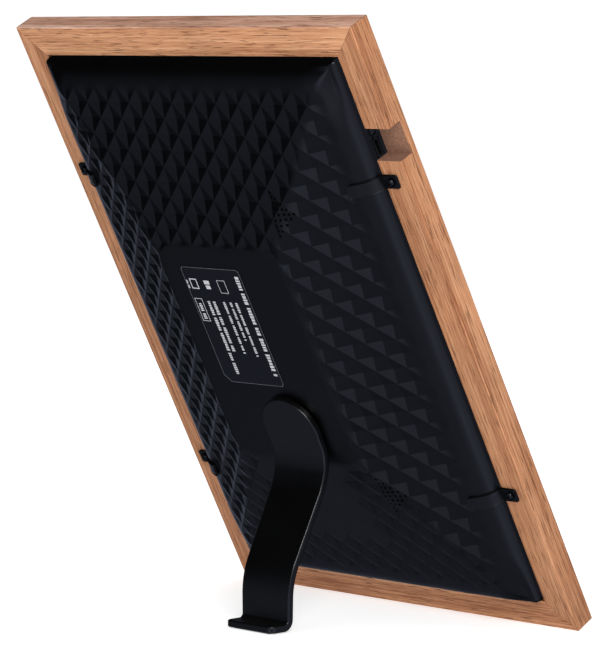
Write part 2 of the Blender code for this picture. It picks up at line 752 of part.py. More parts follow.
def make_backplate(panel):
    """Steel plate behind the display, with a slot for the ribbon and a corner cut for the ports."""
    half_x = SHELL_HALF_X - SHELL_WALL - BACKPLATE_INSET
    half_z = SHELL_HALF_Z - SHELL_WALL - BACKPLATE_INSET
    outline = rectangle(half_x, half_z, BACKPLATE_CORNER_RADIUS, centre=(0.0, MIDDLE))
    mesh = plate_mesh("panel_backplate", outline, BACKPLATE_LAYER)
    plate = add_object("panel_backplate", mesh, MATERIALS["steel"], panel)
    through = (BACKPLATE_LAYER[0] - OVERCUT, BACKPLATE_LAYER[1] + OVERCUT)
    slot_low = (-FLEX_WIDTH / 2.0 - OVERCUT, through[0], FLEX_SLOT[0])
    slot_high = (FLEX_WIDTH / 2.0 + OVERCUT, through[1], FLEX_SLOT[1])
    cut_box(plate, slot_low, slot_high, "flex_slot_cutter")
    corner_low = (-SHELL_HALF_X, through[0], PORT_FLEX_HEIGHTS[0] - OVERCUT)
    corner_high = (-PORT_FLEX_ENTRY, through[1], NOTCH_TOP + OVERCUT)
    cut_box(plate, corner_low, corner_high, "io_corner_cutter")
    head_under = BACKPLATE_LAYER[1] + GAP
    head = (head_under, head_under + M2_HEAD_HEIGHT)
    for number, (x, z) in enumerate(panel_screw_places(), start=1):
        name = f"panel_screw_{number}"
        cut_cylinder(plate, (x, z), M2_RADIUS + GAP / 2.0, through, f"panel_hole_{number}")
        mesh = screw_mesh(name, M2_RADIUS, HOUSING_WALL_BACK + GAP, M2_HEAD_RADIUS, head)
        add_object(name, mesh, MATERIALS["steel"], panel, (x, 0.0, z))


def panel_screw_places():
    places = []
    for side in (-1.0, 1.0):
        for end in (-1.0, 1.0):
            places.append((side * PANEL_SCREW_X, MIDDLE + end * PANEL_SCREW_Z))
    return places


def make_housing(panel):
    """The middle housing: a wall around the glass and a web around the display."""
    web_x = PANEL_SIZE[0] / 2.0 + HOUSING_WEB_PLAY
    web_z = PANEL_SIZE[1] / 2.0 + HOUSING_WEB_PLAY
    inner_x = SHELL_HALF_X - SHELL_WALL
    inner_z = SHELL_HALF_Z - SHELL_WALL
    set_back_x = SHELL_HALF_X - HOUSING_WEB_INSET
    set_back_z = SHELL_HALF_Z - HOUSING_WEB_INSET
    profile = [
        (SHELL_HALF_X, SHELL_HALF_Z, HOUSING_FRONT),
        (SHELL_HALF_X, SHELL_HALF_Z, HOUSING_WALL_BACK),
        (set_back_x, set_back_z, HOUSING_WALL_BACK),
        (set_back_x, set_back_z, HOUSING_WEB_BACK),
        (web_x, web_z, HOUSING_WEB_BACK),
        (web_x, web_z, HOUSING_WALL_BACK),
        (inner_x, inner_z, HOUSING_WALL_BACK),
        (inner_x, inner_z, HOUSING_FRONT),
    ]
    loops = []
    for half_x, half_z, depth in profile:
        loops.append(at_depth(rectangle(half_x, half_z, SHEET_CORNER_RADIUS, centre=(0.0, MIDDLE)), depth))
    mesh = loft_mesh("middle_housing", loops, closed=True)
    housing = add_object("middle_housing", mesh, MATERIALS["black_plastic"], panel)
    for name, height, size in (
        ("socket_port", SOCKET_HEIGHT, SOCKET_SIZE),
        ("button_port", BUTTON_HEIGHT, BUTTON_SIZE),
    ):
        half_y = size[1] / 2.0 + GAP
        half_z = size[2] / 2.0 + GAP
        low = (-SHELL_HALF_X - OVERCUT, PORT_DEPTH - half_y, height - half_z)
        high = (-web_x + OVERCUT, HOUSING_WEB_BACK + OVERCUT, height + half_z)
        cut_box(housing, low, high, name)
    hole = (HOUSING_WALL_BACK - OVERCUT, HOUSING_WEB_BACK + OVERCUT)
    for number, (x, z) in enumerate(panel_screw_places(), start=1):
        cut_cylinder(housing, (x, z), M2_RADIUS + GAP / 2.0, hole, f"housing_hole_{number}")


# ---------------------------------------------------------------- electronics

def make_electronics(panel):
    make_boards(panel)
    make_ports(panel)
    make_speakers(panel)
    make_flexes(panel)
    make_antenna(panel)


def make_boards(panel):
    half_x = BOARD_SIZE[0] / 2.0
    half_z = BOARD_SIZE[1] / 2.0
    outline = rectangle(half_x, half_z, SHEET_CORNER_RADIUS, centre=BOARD_CENTRE)
    mesh = plate_mesh("main_board", outline, BOARD_LAYER)
    board = add_object("main_board", mesh, MATERIALS["board"], panel)
    number = 0
    for side in (-1.0, 1.0):
        for end in (-1.0, 1.0):
            number += 1
            x = BOARD_CENTRE[0] + side * (half_x - BOARD_SCREW_INSET)
            z = BOARD_CENTRE[1] + end * (half_z - BOARD_SCREW_INSET)
            hole = (BOARD_LAYER[0] - OVERCUT, BOARD_LAYER[1] + OVERCUT)
            cut_cylinder(board, (x, z), M2_RADIUS + GAP, hole, f"board_hole_{number}")
            add_board_fixing(panel, number, (x, 0.0, z))
    top = BOARD_LAYER[1] + CHIP_SEAT
    for name, centre, half, height, material in CHIPS:
        mesh = plate_mesh(name, rectangle(*half, CHIP_CORNER_RADIUS, centre=centre), (top, top + height))
        add_object(name, mesh, MATERIALS[material], panel)


def add_board_fixing(panel, number, place):
    """A brass standoff under the board and the screw that holds the board to it."""
    layer = (BACKPLATE_LAYER[1] + GAP / 2.0, BOARD_LAYER[0] - GAP / 2.0)
    ring = washer_profile(M2_RADIUS + GAP / 2.0, STANDOFF_RADIUS, layer)
    post = turned_mesh(f"board_standoff_{number}", ring, STANDOFF_SIDES, closed=True)
    add_object(f"board_standoff_{number}", post, MATERIALS["brass"], panel, place)
    head_under = BOARD_LAYER[1] + GAP / 2.0
    head = (head_under, head_under + M2_HEAD_HEIGHT)
    tip = BOARD_LAYER[0] - BOARD_SCREW_REACH
    screw = screw_mesh(f"board_screw_{number}", M2_RADIUS, tip, M2_HEAD_RADIUS, head)
    add_object(f"board_screw_{number}", screw, MATERIALS["steel"], panel, place)


def make_ports(panel):
    """Power socket, push button and its switch, lined up behind the notch."""
    outside = -SHELL_HALF_X + SOCKET_RECESS
    half_y = SOCKET_SIZE[1] / 2.0
    half_z = SOCKET_SIZE[2] / 2.0
    low = (outside, PORT_DEPTH - half_y, SOCKET_HEIGHT - half_z)
    high = (outside + SOCKET_SIZE[0], PORT_DEPTH + half_y, SOCKET_HEIGHT + half_z)
    mesh = box_mesh("power_socket", low, high)
    socket = add_object("power_socket", mesh, MATERIALS["black_plastic"], panel)
    mouth_y = SOCKET_OPENING[1] / 2.0
    mouth_z = SOCKET_OPENING[0] / 2.0
    mouth_low = (outside - OVERCUT, PORT_DEPTH - mouth_y, SOCKET_HEIGHT - mouth_z)
    mouth_high = (high[0] - SOCKET_FLOOR, PORT_DEPTH + mouth_y, SOCKET_HEIGHT + mouth_z)
    cut_box(socket, mouth_low, mouth_high, "socket_mouth")

    half_y = BUTTON_SIZE[1] / 2.0
    half_z = BUTTON_SIZE[2] / 2.0
    start = -SHELL_HALF_X + BUTTON_RECESS
    button = box_mesh("power_button", (0.0, -half_y, -half_z), (BUTTON_SIZE[0], half_y, half_z))
    place = (start, PORT_DEPTH, BUTTON_HEIGHT)
    add_object("power_button", button, MATERIALS["black_plastic"], panel, place)
    front = start + BUTTON_SIZE[0] + BUTTON_TRAVEL + GAP
    low = (front, PORT_DEPTH - half_y, BUTTON_HEIGHT - half_z)
    high = (front + SWITCH_DEPTH, PORT_DEPTH + half_y, BUTTON_HEIGHT + half_z)
    add_object("button_switch", box_mesh("button_switch", low, high), MATERIALS["tin"], panel)


def make_speakers(panel):
    """Magnet, basket and dished cone, turned as one body and tilted to the slope."""
    tilt = math.atan(SLOPE_X)
    front = SPEAKER_THICKNESS / 2.0
    cone = front - SPEAKER_CONE_DEPTH
    profile = [
        (SPEAKER_MAGNET_RADIUS, -front),
        (SPEAKER_MAGNET_RADIUS, SPEAKER_MAGNET_TOP),
        (SPEAKER_RADIUS, 0.0),
        (SPEAKER_RADIUS, front),
        (SPEAKER_SURROUND_RADIUS, front),
        (SPEAKER_COIL_RADIUS, cone),
        (SPEAKER_CAP_RADIUS, cone + SPEAKER_CAP_RISE),
    ]
    for name, height in zip(("speaker_upper", "speaker_lower"), GRILLE_HEIGHTS):
        mesh = turned_mesh(name, profile, SPEAKER_SEGMENTS)
        place = (GRILLE_X + SPEAKER_SHIFT, SPEAKER_HEIGHT, height)
        add_object(name, mesh, MATERIALS["speaker"], panel, place, (0.0, 0.0, tilt))


def strip_section(path, thickness):
    """Outline of a thin strip that follows a path, with the thickness on its left side."""
    return list(path) + list(reversed(offset_path(path, thickness)))


def offset_path(path, distance):
    """The path moved to its left side by the distance, mitred at its corners."""
    moved = []
    for index, here in enumerate(path):
        before = (here - path[index - 1]).normalized() if index > 0 else None
        after = (path[index + 1] - here).normalized() if index < len(path) - 1 else None
        before = before or after
        after = after or before
        normal = Vector((-before.y - after.y, before.x + after.x)).normalized()
        stretch = 1.0 / normal.dot(Vector((-after.y, after.x)))
        moved.append(here + normal * distance * stretch)
    return moved


def make_flexes(panel):
    """Ribbon from the display to the board, and the small one from the ports to the board."""
    board_low = BOARD_CENTRE[1] - BOARD_SIZE[1] / 2.0
    under_board = BOARD_LAYER[0] - FLEX_THICKNESS - GAP
    behind_display = PANEL_LAYER[1] + FLEX_SEAT
    path = fillet_outline([
        (behind_display, FLEX_SLOT[0] - FLEX_TAIL, 0.0),
        (behind_display, FLEX_RISE, FLEX_BEND),
        (under_board, FLEX_RISE, FLEX_BEND),
        (under_board, board_low + FLEX_OVERLAP, 0.0),
    ], FLEX_SEGMENTS, closed=False)
    section = strip_section(path, -FLEX_THICKNESS)
    loops = []
    for x in (-FLEX_WIDTH / 2.0, FLEX_WIDTH / 2.0):
        loops.append([Vector((x, y, z)) for y, z in section])
    add_object("display_flex", loft_mesh("display_flex", loops), MATERIALS["flex"], panel)

    board_left = BOARD_CENTRE[0] - BOARD_SIZE[0] / 2.0
    ledge = HOUSING_WEB_BACK + GAP
    path = fillet_outline([
        (-SHELL_HALF_X + SHELL_WALL + PORT_FLEX_MARGIN, ledge, 0.0),
        (-PORT_FLEX_ENTRY - PORT_FLEX_STEPS[0], ledge, FLEX_BEND),
        (-PORT_FLEX_ENTRY - PORT_FLEX_STEPS[1], PORT_FLEX_DEPTH, FLEX_BEND),
        (board_left - PORT_FLEX_CLIMB[0], PORT_FLEX_DEPTH, FLEX_BEND),
        (board_left - PORT_FLEX_CLIMB[1], under_board, FLEX_BEND),
        (board_left + PORT_FLEX_OVERLAP, under_board, 0.0),
    ], FLEX_SEGMENTS, closed=False)
    section = strip_section(path, FLEX_THICKNESS)
    loops = [[Vector((x, y, z)) for x, y in section] for z in PORT_FLEX_HEIGHTS]
    add_object("port_flex", loft_mesh("port_flex", loops), MATERIALS["flex"], panel)


def make_antenna(panel):
    """Flat aerial on the inner face of the upper slope."""
    rise = PLATEAU_HEIGHT - PLATEAU_THICKNESS - CAVITY_EDGE_HEIGHT
    run = SHELL_HALF_Z - SHELL_WALL - PLATEAU_HALF_Z + CAVITY_INSET
    tilt = math.atan(rise / run)
    height = cavity_height(0.0, ANTENNA_V) - ANTENNA_DROP
    half_x, half_z, half_y = ANTENNA_HALF
    mesh = box_mesh("wifi_antenna", (-half_x, -half_y, -half_z), (half_x, half_y, half_z))
    place = (0.0, height, MIDDLE + ANTENNA_V)
    add_object("wifi_antenna", mesh, MATERIALS["flex"], panel, place, (tilt, 0.0, 0.0))


# ---------------------------------------------------------------- clips

def clip_path():
    """Underside of a strap as (distance from the middle, depth): off the wood and round the rim."""
    surface = []
    for inset in CLIP_INSETS:
        x = SHELL_HALF_X - inset
        height = slope_height(x, SHELL_HALF_X, PLATEAU_HALF_X, SLOPE_X) - rim_rounding(inset)
        surface.append(Vector((x, height)))
    strap = offset_path(surface, -CLIP_LIFT)
    tab = [Vector((CLIP_SCREW_X + CLIP_TAB_REACH, CLIP_SEAT)), Vector((strap[0].x, CLIP_SEAT))]
    return tab + strap


def make_clips(panel):
    section = strip_section(clip_path(), -CLIP_THICKNESS)
    head_under = CLIP_SEAT + CLIP_THICKNESS + CLIP_HEAD_SEAT
    head = (head_under, head_under + CLIP_HEAD_HEIGHT)
    number = 0
    for side in (-1.0, 1.0):
        for height in CLIP_HEIGHTS:
            number += 1
            name = f"clip_{number}"
            loops = []
            for z in (height - CLIP_WIDTH / 2.0, height + CLIP_WIDTH / 2.0):
                loops.append([Vector((side * x, y, z)) for x, y in section])
            clip = add_object(name, loft_mesh(name, loops), MATERIALS["clip_steel"], panel)
            centre = (side * CLIP_SCREW_X, height)
            hole = (-OVERCUT, head[1])
            cut_cylinder(clip, centre, CLIP_SHANK_RADIUS + GAP, hole, f"clip_hole_{number}")
            name = f"clip_screw_{number}"
            mesh = screw_mesh(name, CLIP_SHANK_RADIUS, -CLIP_SCREW_REACH, CLIP_HEAD_RADIUS, head)
            add_object(name, mesh, MATERIALS["black_steel"], panel, (centre[0], 0.0, centre[1]))


# ---------------------------------------------------------------- stand

def floor_to_panel(back, height):
    """Panel (y, z) of a point given by its distance behind the lower edge and above the floor."""
    lifted = height + CONTACT_DROP
    return (
        back * math.cos(LEAN) - lifted * math.sin(LEAN),
        back * math.sin(LEAN) + lifted * math.cos(LEAN),
    )


def leg_path():
    """Inner face of the stand in panel (y, z): along the head, down the leg and back along the foot."""
    head_y = PLATEAU_HEIGHT + HEAD_CLEARANCE
    drop_z = (LEG_DROP_BACK - head_y * math.cos(LEAN)) / math.sin(LEAN)
    corners = [(head_y, HUB_Z + HEAD_RADIUS, 0.0), (head_y, drop_z, LEG_BENDS[0])]
    for (back, height), radius in zip(LEG_KNEES, LEG_BENDS[1:]):
        corners.append((*floor_to_panel(back, height), radius))
    corners.append((*floor_to_panel(FOOT_BACK, PAD_DROP), 0.0))
    return fillet_outline(corners, LEG_BEND_SEGMENTS, closed=False)


def path_lengths(path):
    lengths = [0.0]
    for here, there in zip(path, path[1:]):
        lengths.append(lengths[-1] + (there - here).length)
    return lengths


def leg_outline(length, inset):
    """Flat tapered outline of the stand as (x from the hub, distance along), moved in by the inset."""
    radius = HEAD_RADIUS - inset
    half = FOOT_HALF_WIDTH - inset
    spread = math.pi / 2.0 + math.acos((LEG_HALF_WIDTH - inset) / radius)
    points = []
    for step in range(HEAD_SEGMENTS + 1):
        angle = -spread + 2.0 * spread * step / HEAD_SEGMENTS
        points.append(Vector((radius * math.sin(angle), HEAD_RADIUS - radius * math.cos(angle))))
    end = length - inset
    corner = FOOT_CORNER_RADIUS
    foot = fillet_outline([(half, end - 2.0 * corner, 0.0), (half, end, corner), (-half, end, corner),
                           (-half, end - 2.0 * corner, 0.0)], FOOT_CORNER_SEGMENTS, closed=False)
    return points + foot


def leg_mesh(name):
    """A flat blank with rounded edges, bent along the stand's path."""
    path = leg_path()
    outward = offset_path(path, LEG_THICKNESS)
    lengths = path_lengths(path)

    def bend(point, level):
        """Place a point of the flat blank, at a level from 0 on the inner face to 1 outside."""
        x, along = point
        span = max(index for index in range(len(path) - 1) if index == 0 or lengths[index] <= along)
        share = (along - lengths[span]) / (lengths[span + 1] - lengths[span])
        inner = path[span].lerp(path[span + 1], share)
        outer = outward[span].lerp(outward[span + 1], share)
        y, z = inner.lerp(outer, level)
        return Vector((x, y, z - HUB_Z))

    edge = LEG_EDGE_RADIUS
    share = edge / LEG_THICKNESS
    corner = math.sqrt(0.5)
    rings = [
        (edge, 0.0),
        (edge * (1.0 - corner), share * (1.0 - corner)),
        (0.0, share),
        (0.0, 1.0 - share),
        (edge * (1.0 - corner), 1.0 - share * (1.0 - corner)),
        (edge, 1.0),
    ]
    cross_lines = [[(-HEAD_RADIUS, s), (HEAD_RADIUS, s)] for s in lengths[1:-1]]
    face, triangles = fill_region(leg_outline(lengths[-1], edge), (), cross_lines)
    used = sorted({index for triangle in triangles for index in triangle})
    order = {index: position for position, index in enumerate(used)}
    triangles = [tuple(order[index] for index in triangle) for triangle in triangles]
    points = [face[index] for index in used]
    rim = boundary_loops(points, triangles)[0]

    def widen(point, inset):
        """Move a rim point of the face out to a ring with a smaller inset."""
        x, along = point
        grow = edge - inset
        if along <= HEAD_RADIUS:
            away = Vector((x, along - HEAD_RADIUS)).normalized()
            return Vector(point) + away * grow
        end = lengths[-1] - edge - FOOT_CORNER_RADIUS
        corner_x = FOOT_HALF_WIDTH - edge - FOOT_CORNER_RADIUS
        if along > end and abs(x) > corner_x:
            centre = Vector((math.copysign(corner_x, x), end))
            return Vector(point) + (Vector(point) - centre).normalized() * grow
        if along > end:
            return Vector((x, along + grow))
        return Vector((x + math.copysign(grow, x), along))

    vertices = [bend(point, 0.0) for point in points] + [bend(point, 1.0) for point in points]
    count = len(points)
    faces = [triangle for triangle in triangles]
    faces += [tuple(count + index for index in triangle) for triangle in triangles]
    ring_starts = []
    for inset, level in rings:
        ring_starts.append(len(vertices))
        vertices += [bend(widen(point, inset), level) for point in rim]
    size = len(rim)
    for here, there in zip(ring_starts, ring_starts[1:]):
        for step in range(size):
            following = (step + 1) % size
            faces.append((here + step, here + following, there + following, there + step))
    return mesh_from(name, vertices, faces, SMOOTH_ANGLE)


def make_stand(panel):
    hub = add_empty("stand_hub", panel, (HUB_X, 0.0, HUB_Z))
    leg = add_object("stand_leg", leg_mesh("stand_leg"), MATERIALS["black_plastic"], hub)
    head_y = PLATEAU_HEIGHT + HEAD_CLEARANCE
    boss = turned_mesh("boss_joiner", [(BOSS_RADIUS, BOSS_END), (BOSS_RADIUS, head_y + LEG_THICKNESS / 2.0)],
                       PIVOT_SEGMENTS)
    apply_cutter(leg, add_object("boss_joiner", boss, MATERIALS["cutter"], hub), "UNION")
    screw_reach = head_y + LEG_THICKNESS / 4.0
    bore = (BOSS_END - OVERCUT, screw_reach)
    cut_cylinder(leg, (0.0, 0.0), PIVOT_SCREW_RADIUS + GAP, bore, "pivot_pilot")
    make_foot_pad(leg, hub)

    roof = PLATEAU_HEIGHT - PLATEAU_THICKNESS
    spring_layer = (roof - GAP - SPRING_THICKNESS, roof - GAP)
    ring = washer_profile(BOSS_RADIUS + GAP, SPRING_RADIUS, spring_layer)
    spring = turned_mesh("spring_washer", ring, PIVOT_SEGMENTS, closed=True)
    add_object("spring_washer", spring, MATERIALS["steel"], hub)
    washer_top = BOSS_END - GAP
    washer_layer = (washer_top - RETAINER_THICKNESS, washer_top)
    ring = washer_profile(PIVOT_SCREW_RADIUS + GAP, RETAINER_RADIUS, washer_layer)
    washer = turned_mesh("retaining_washer", ring, PIVOT_SEGMENTS, closed=True)
    add_object("retaining_washer", washer, MATERIALS["steel"], hub)
    head_top = washer_layer[0] - GAP
    profile = [
        (PIVOT_SCREW_RADIUS, screw_reach - GAP),
        (PIVOT_SCREW_RADIUS, head_top),
        (PIVOT_HEAD_RADIUS, head_top),
        (PIVOT_HEAD_RADIUS, head_top - PIVOT_HEAD_HEIGHT),
    ]
    add_object("pivot_screw", turned_mesh("pivot_screw", profile, SCREW_SEGMENTS), MATERIALS["steel"], hub)


def make_foot_pad(leg, hub):
    """A rubber pad in a pocket under the foot, standing slightly proud of it."""
    def block(name, grow, bottom, top):
        near = PAD_SPAN[0] - grow
        far = PAD_SPAN[1] + grow
        half = PAD_HALF_WIDTH + grow
        loops = []
        for height in (bottom, top):
            loop = []
            for x, back in ((-half, near), (half, near), (half, far), (-half, far)):
                y, z = floor_to_panel(back, height)
                loop.append(Vector((x, y, z - HUB_Z)))
            loops.append(loop)
        return loft_mesh(name, loops)

    pocket = block("pad_pocket", GAP, -OVERCUT, PAD_THICKNESS + GAP)
    apply_cutter(leg, add_object("pad_pocket", pocket, MATERIALS["cutter"], hub))
    add_object("foot_pad", block("foot_pad", 0.0, 0.0, PAD_THICKNESS), MATERIALS["rubber"], hub)


# ---------------------------------------------------------------- the whole object

MATERIALS = {}


def make_materials():
    palette = {
        "wood": ((0.47, 0.22, 0.11), 0.55, 0.0),
        "black_plastic": ((0.012, 0.013, 0.016), 0.42, 0.0),
        "label": ((0.012, 0.015, 0.028), 0.45, 0.0),
        "glass": ((0.02, 0.02, 0.022), 0.05, 0.0),
        "mat": ((0.86, 0.85, 0.82), 0.8, 0.0),
        "screen": ((0.03, 0.05, 0.08), 0.2, 0.0),
        "steel": ((0.55, 0.56, 0.58), 0.35, 1.0),
        "clip_steel": ((0.02, 0.021, 0.024), 0.4, 0.6),
        "black_steel": ((0.02, 0.02, 0.022), 0.3, 1.0),
        "brass": ((0.62, 0.47, 0.2), 0.3, 1.0),
        "tin": ((0.62, 0.62, 0.6), 0.3, 1.0),
        "board": ((0.01, 0.11, 0.05), 0.4, 0.0),
        "chip": ((0.015, 0.015, 0.016), 0.5, 0.0),
        "flex": ((0.45, 0.2, 0.04), 0.4, 0.0),
        "speaker": ((0.03, 0.03, 0.032), 0.6, 0.0),
        "rubber": ((0.02, 0.02, 0.02), 0.85, 0.0),
        "cutter": ((0.8, 0.1, 0.1), 0.5, 0.0),
    }
    for name, (colour, roughness, metallic) in palette.items():
        MATERIALS[name] = make_material(name, colour, roughness, metallic)


def main():
    clear_scene()
    make_materials()
    front = -FRAME_DEPTH * math.cos(LEAN)
    back = FRAME_HEIGHT * math.sin(LEAN)
    panel = add_empty("panel", None, (0.0, -(front + back) / 2.0, -CONTACT_DROP), (-LEAN, 0.0, 0.0))
    make_rails(panel)
    make_display(panel)
    make_housing(panel)
    make_electronics(panel)
    make_shell(panel)
    make_clips(panel)
    make_stand(panel)


main()
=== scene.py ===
"""Digital photo frame seen from behind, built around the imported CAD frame."""
import math
import random

import bmesh
import bpy
import numpy as np
from mathutils import Matrix, Vector
from mathutils.geometry import delaunay_2d_cdt


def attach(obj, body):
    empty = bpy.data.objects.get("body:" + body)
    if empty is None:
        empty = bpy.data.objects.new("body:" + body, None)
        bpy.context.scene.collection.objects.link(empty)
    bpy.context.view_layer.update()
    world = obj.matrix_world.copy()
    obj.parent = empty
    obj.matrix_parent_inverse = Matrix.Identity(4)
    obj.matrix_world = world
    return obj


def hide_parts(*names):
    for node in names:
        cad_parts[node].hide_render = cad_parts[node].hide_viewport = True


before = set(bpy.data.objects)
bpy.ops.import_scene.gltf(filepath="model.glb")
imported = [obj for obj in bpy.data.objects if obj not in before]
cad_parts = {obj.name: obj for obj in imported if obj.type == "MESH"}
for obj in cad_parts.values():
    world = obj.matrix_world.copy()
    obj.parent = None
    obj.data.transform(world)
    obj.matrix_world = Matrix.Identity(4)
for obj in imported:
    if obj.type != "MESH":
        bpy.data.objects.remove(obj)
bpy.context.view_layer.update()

MM = 0.001
ROUND_SEGMENTS = 48
FILLET_STEPS = 6
WELD = 1e-6
FINE_WELD = 1e-7

# -------- sizes shared with the CAD model

FRAME_WIDTH = 188.0 * MM
FRAME_HEIGHT = 264.0 * MM
FRAME_DEPTH = 9.6 * MM
MIDDLE = FRAME_HEIGHT / 2.0
LEAN = math.radians(28.1)
RAIL_WIDTH = 12.4 * MM
LIP_WIDTH = 4.5 * MM
LIP_DEPTH = 2.2 * MM
RAIL_EDGE_RADIUS = 0.6 * MM
MITRE_GAP = 0.1 * MM
NOTCH_BOTTOM = 208.8 * MM
NOTCH_TOP = 222.2 * MM
NOTCH_DEPTH = 6.4 * MM

SHELL_HALF_X = 81.0 * MM
SHELL_HALF_Z = 119.0 * MM
SHELL_CORNER_RADIUS = 1.2 * MM
SHELL_WALL = 2.0 * MM
SHELL_SEAM = -1.6 * MM
RIM_HEIGHT = 3.65 * MM
RIM_BAND = 8.5 * MM
PLATEAU_HALF_X = 34.3 * MM
PLATEAU_HALF_Z = 48.4 * MM
PLATEAU_CORNER_RADIUS = 10.0 * MM
PLATEAU_HEIGHT = 22.4 * MM
PLATEAU_THICKNESS = 2.4 * MM
SLOPE_X = 0.36
SLOPE_Z = 0.22
CAVITY_EDGE_HEIGHT = 1.0 * MM
CAVITY_INSET = 1.5 * MM
FACET_PITCH_X = 12.3 * MM
FACET_PITCH_Z = 12.45 * MM
FACET_ROW_OFFSET = -1.1 * MM
FACET_DEPTH = 1.0 * MM
GRILLE_X = -38.0 * MM
GRILLE_HEIGHTS = (195.0 * MM, 69.2 * MM)

HUB_X = -6.0 * MM
HUB_Z = 100.0 * MM
HEAD_RADIUS = 14.5 * MM
HEAD_CLEARANCE = 0.4 * MM
LEG_HALF_WIDTH = 14.2 * MM
FOOT_HALF_WIDTH = 13.0 * MM
LEG_THICKNESS = 2.8 * MM
BOSS_RADIUS = 8.0 * MM
BOSS_END = 18.4 * MM
FOOT_BACK = 92.5 * MM
PAD_DROP = 0.4 * MM
LEG_DROP_BACK = 61.0 * MM
LEG_KNEES = ((64.0 * MM, 53.3 * MM), (80.6 * MM, 19.7 * MM), (80.7 * MM, PAD_DROP))
LEG_BENDS = (18.0 * MM, 30.0 * MM, 30.0 * MM, 4.5 * MM)

CLIP_HEIGHTS = (200.4 * MM, 62.9 * MM)
CLIP_SCREW_X = 86.0 * MM
CLIP_WIDTH = 5.4 * MM
CLIP_THICKNESS = 0.7 * MM
CLIP_LIFT = 0.25 * MM
CLIP_REACH = 9.5 * MM
CLIP_STEPS = 18
CLIP_SEAT = 0.2 * MM
CLIP_TAB_REACH = 3.2 * MM

CONTACT_DROP = RAIL_EDGE_RADIUS * (math.cos(LEAN) + math.sin(LEAN) - 1.0)
PANEL_Y = (FRAME_DEPTH * math.cos(LEAN) - FRAME_HEIGHT * math.sin(LEAN)) / 2.0
PANEL = Matrix.Translation((0.0, PANEL_Y, -CONTACT_DROP)) @ Matrix.Rotation(-LEAN, 4, "X")
HUB = PANEL @ Matrix.Translation((HUB_X, 0.0, HUB_Z))


# -------- outlines

def fillet_outline(corners, segments, closed=True):
    """Points along corners given as (a, b, radius), with an arc wherever the radius is not zero."""
    points = []
    last = len(corners) - 1
    for index, (a, b, radius) in enumerate(corners):
        here = Vector((a, b))
        if radius <= 0.0 or (not closed and index in (0, last)):
            points.append(here)
            continue
        backward = (Vector(corners[index - 1][:2]) - here).normalized()
        forward = (Vector(corners[(index + 1) % len(corners)][:2]) - here).normalized()
        half_angle = math.acos(backward.dot(forward)) / 2.0
        centre = here + (backward + forward).normalized() * (radius / math.sin(half_angle))
        reach = radius / math.tan(half_angle)
        start = here + backward * reach - centre
        end = here + forward * reach - centre
        first = math.atan2(start.y, start.x)
        sweep = math.remainder(math.atan2(end.y, end.x) - first, 2.0 * math.pi)
        for step in range(segments + 1):
            angle = first + sweep * step / segments
            points.append(centre + radius * Vector((math.cos(angle), math.sin(angle))))
    return points


def rectangle(half_a, half_b, radius=0.0, segments=FILLET_STEPS, centre=(0.0, 0.0)):
    ca, cb = centre
    return fillet_outline([
        (ca + half_a, cb - half_b, radius),
        (ca + half_a, cb + half_b, radius),
        (ca - half_a, cb + half_b, radius),
        (ca - half_a, cb - half_b, radius),
    ], segments)


def circle(centre, radius, segments):
    angles = [2.0 * math.pi * step / segments for step in range(segments)]
    return [Vector(centre) + radius * Vector((math.cos(t), math.sin(t))) for t in angles]


def contains(loop, point):
    """Whether a point lies inside a loop, by counting the loop's sides that it looks across."""
    inside = False
    for (ax, ay), (bx, by) in zip(loop, loop[1:] + loop[:1]):
        if (ay > point[1]) != (by > point[1]):
            crossing = ax + (point[1] - ay) * (bx - ax) / (by - ay)
            inside = inside != (point[0] < crossing)
    return inside


def at_depth(outline, depth):
    """Points (x, depth, z) from an outline's (x, z)."""
    return [Vector((x, depth, z)) for x, z in outline]


# -------- meshes and pieces

def mesh_from(name, vertices, faces, weld=WELD):
    """A mesh with its doubled vertices merged and its faces turned outwards."""
    mesh = bpy.data.meshes.new(name)
    bm = bmesh.new()
    verts = [bm.verts.new(v) for v in vertices]
    for face in faces:
        bm.faces.new([verts[index] for index in face])
    bmesh.ops.remove_doubles(bm, verts=bm.verts, dist=weld)
    bmesh.ops.recalc_face_normals(bm, faces=bm.faces)
    bm.to_mesh(mesh)
    bm.free()
    return mesh


def ring_faces(count, size, start=0, closed=False):
    """Quads between successive loops of equally many vertices, numbered from start."""
    faces = []
    for ring in range(count if closed else count - 1):
        here = start + ring * size
        there = start + (ring + 1) % count * size
        for step in range(size):
            following = (step + 1) % size
            faces.append((here + step, here + following, there + following, there + step))
    return faces


def loft_mesh(name, loops, closed=False):
    """Join loops of equally many points: capped at both ends, or closed into a ring."""
    size = len(loops[0])
    vertices = [point for loop in loops for point in loop]
    faces = ring_faces(len(loops), size, closed=closed)
    if not closed:
        faces.append(tuple(range(size)))
        faces.append(tuple(range(len(vertices) - size, len(vertices))))
    return mesh_from(name, vertices, faces)


def box_mesh(name, low, high):
    outline = [(low[0], low[2]), (high[0], low[2]), (high[0], high[2]), (low[0], high[2])]
    return loft_mesh(name, [at_depth(outline, low[1]), at_depth(outline, high[1])])


def turned_mesh(name, profile, segments):
    """A solid of revolution from (radius, depth) pairs."""
    rings = [at_depth(circle((0.0, 0.0), radius, segments), depth) for radius, depth in profile]
    return loft_mesh(name, rings)


def new_object(name, data):
    """A new object in the scene."""
    obj = bpy.data.objects.new(name, data)
    bpy.context.scene.collection.objects.link(obj)
    return obj


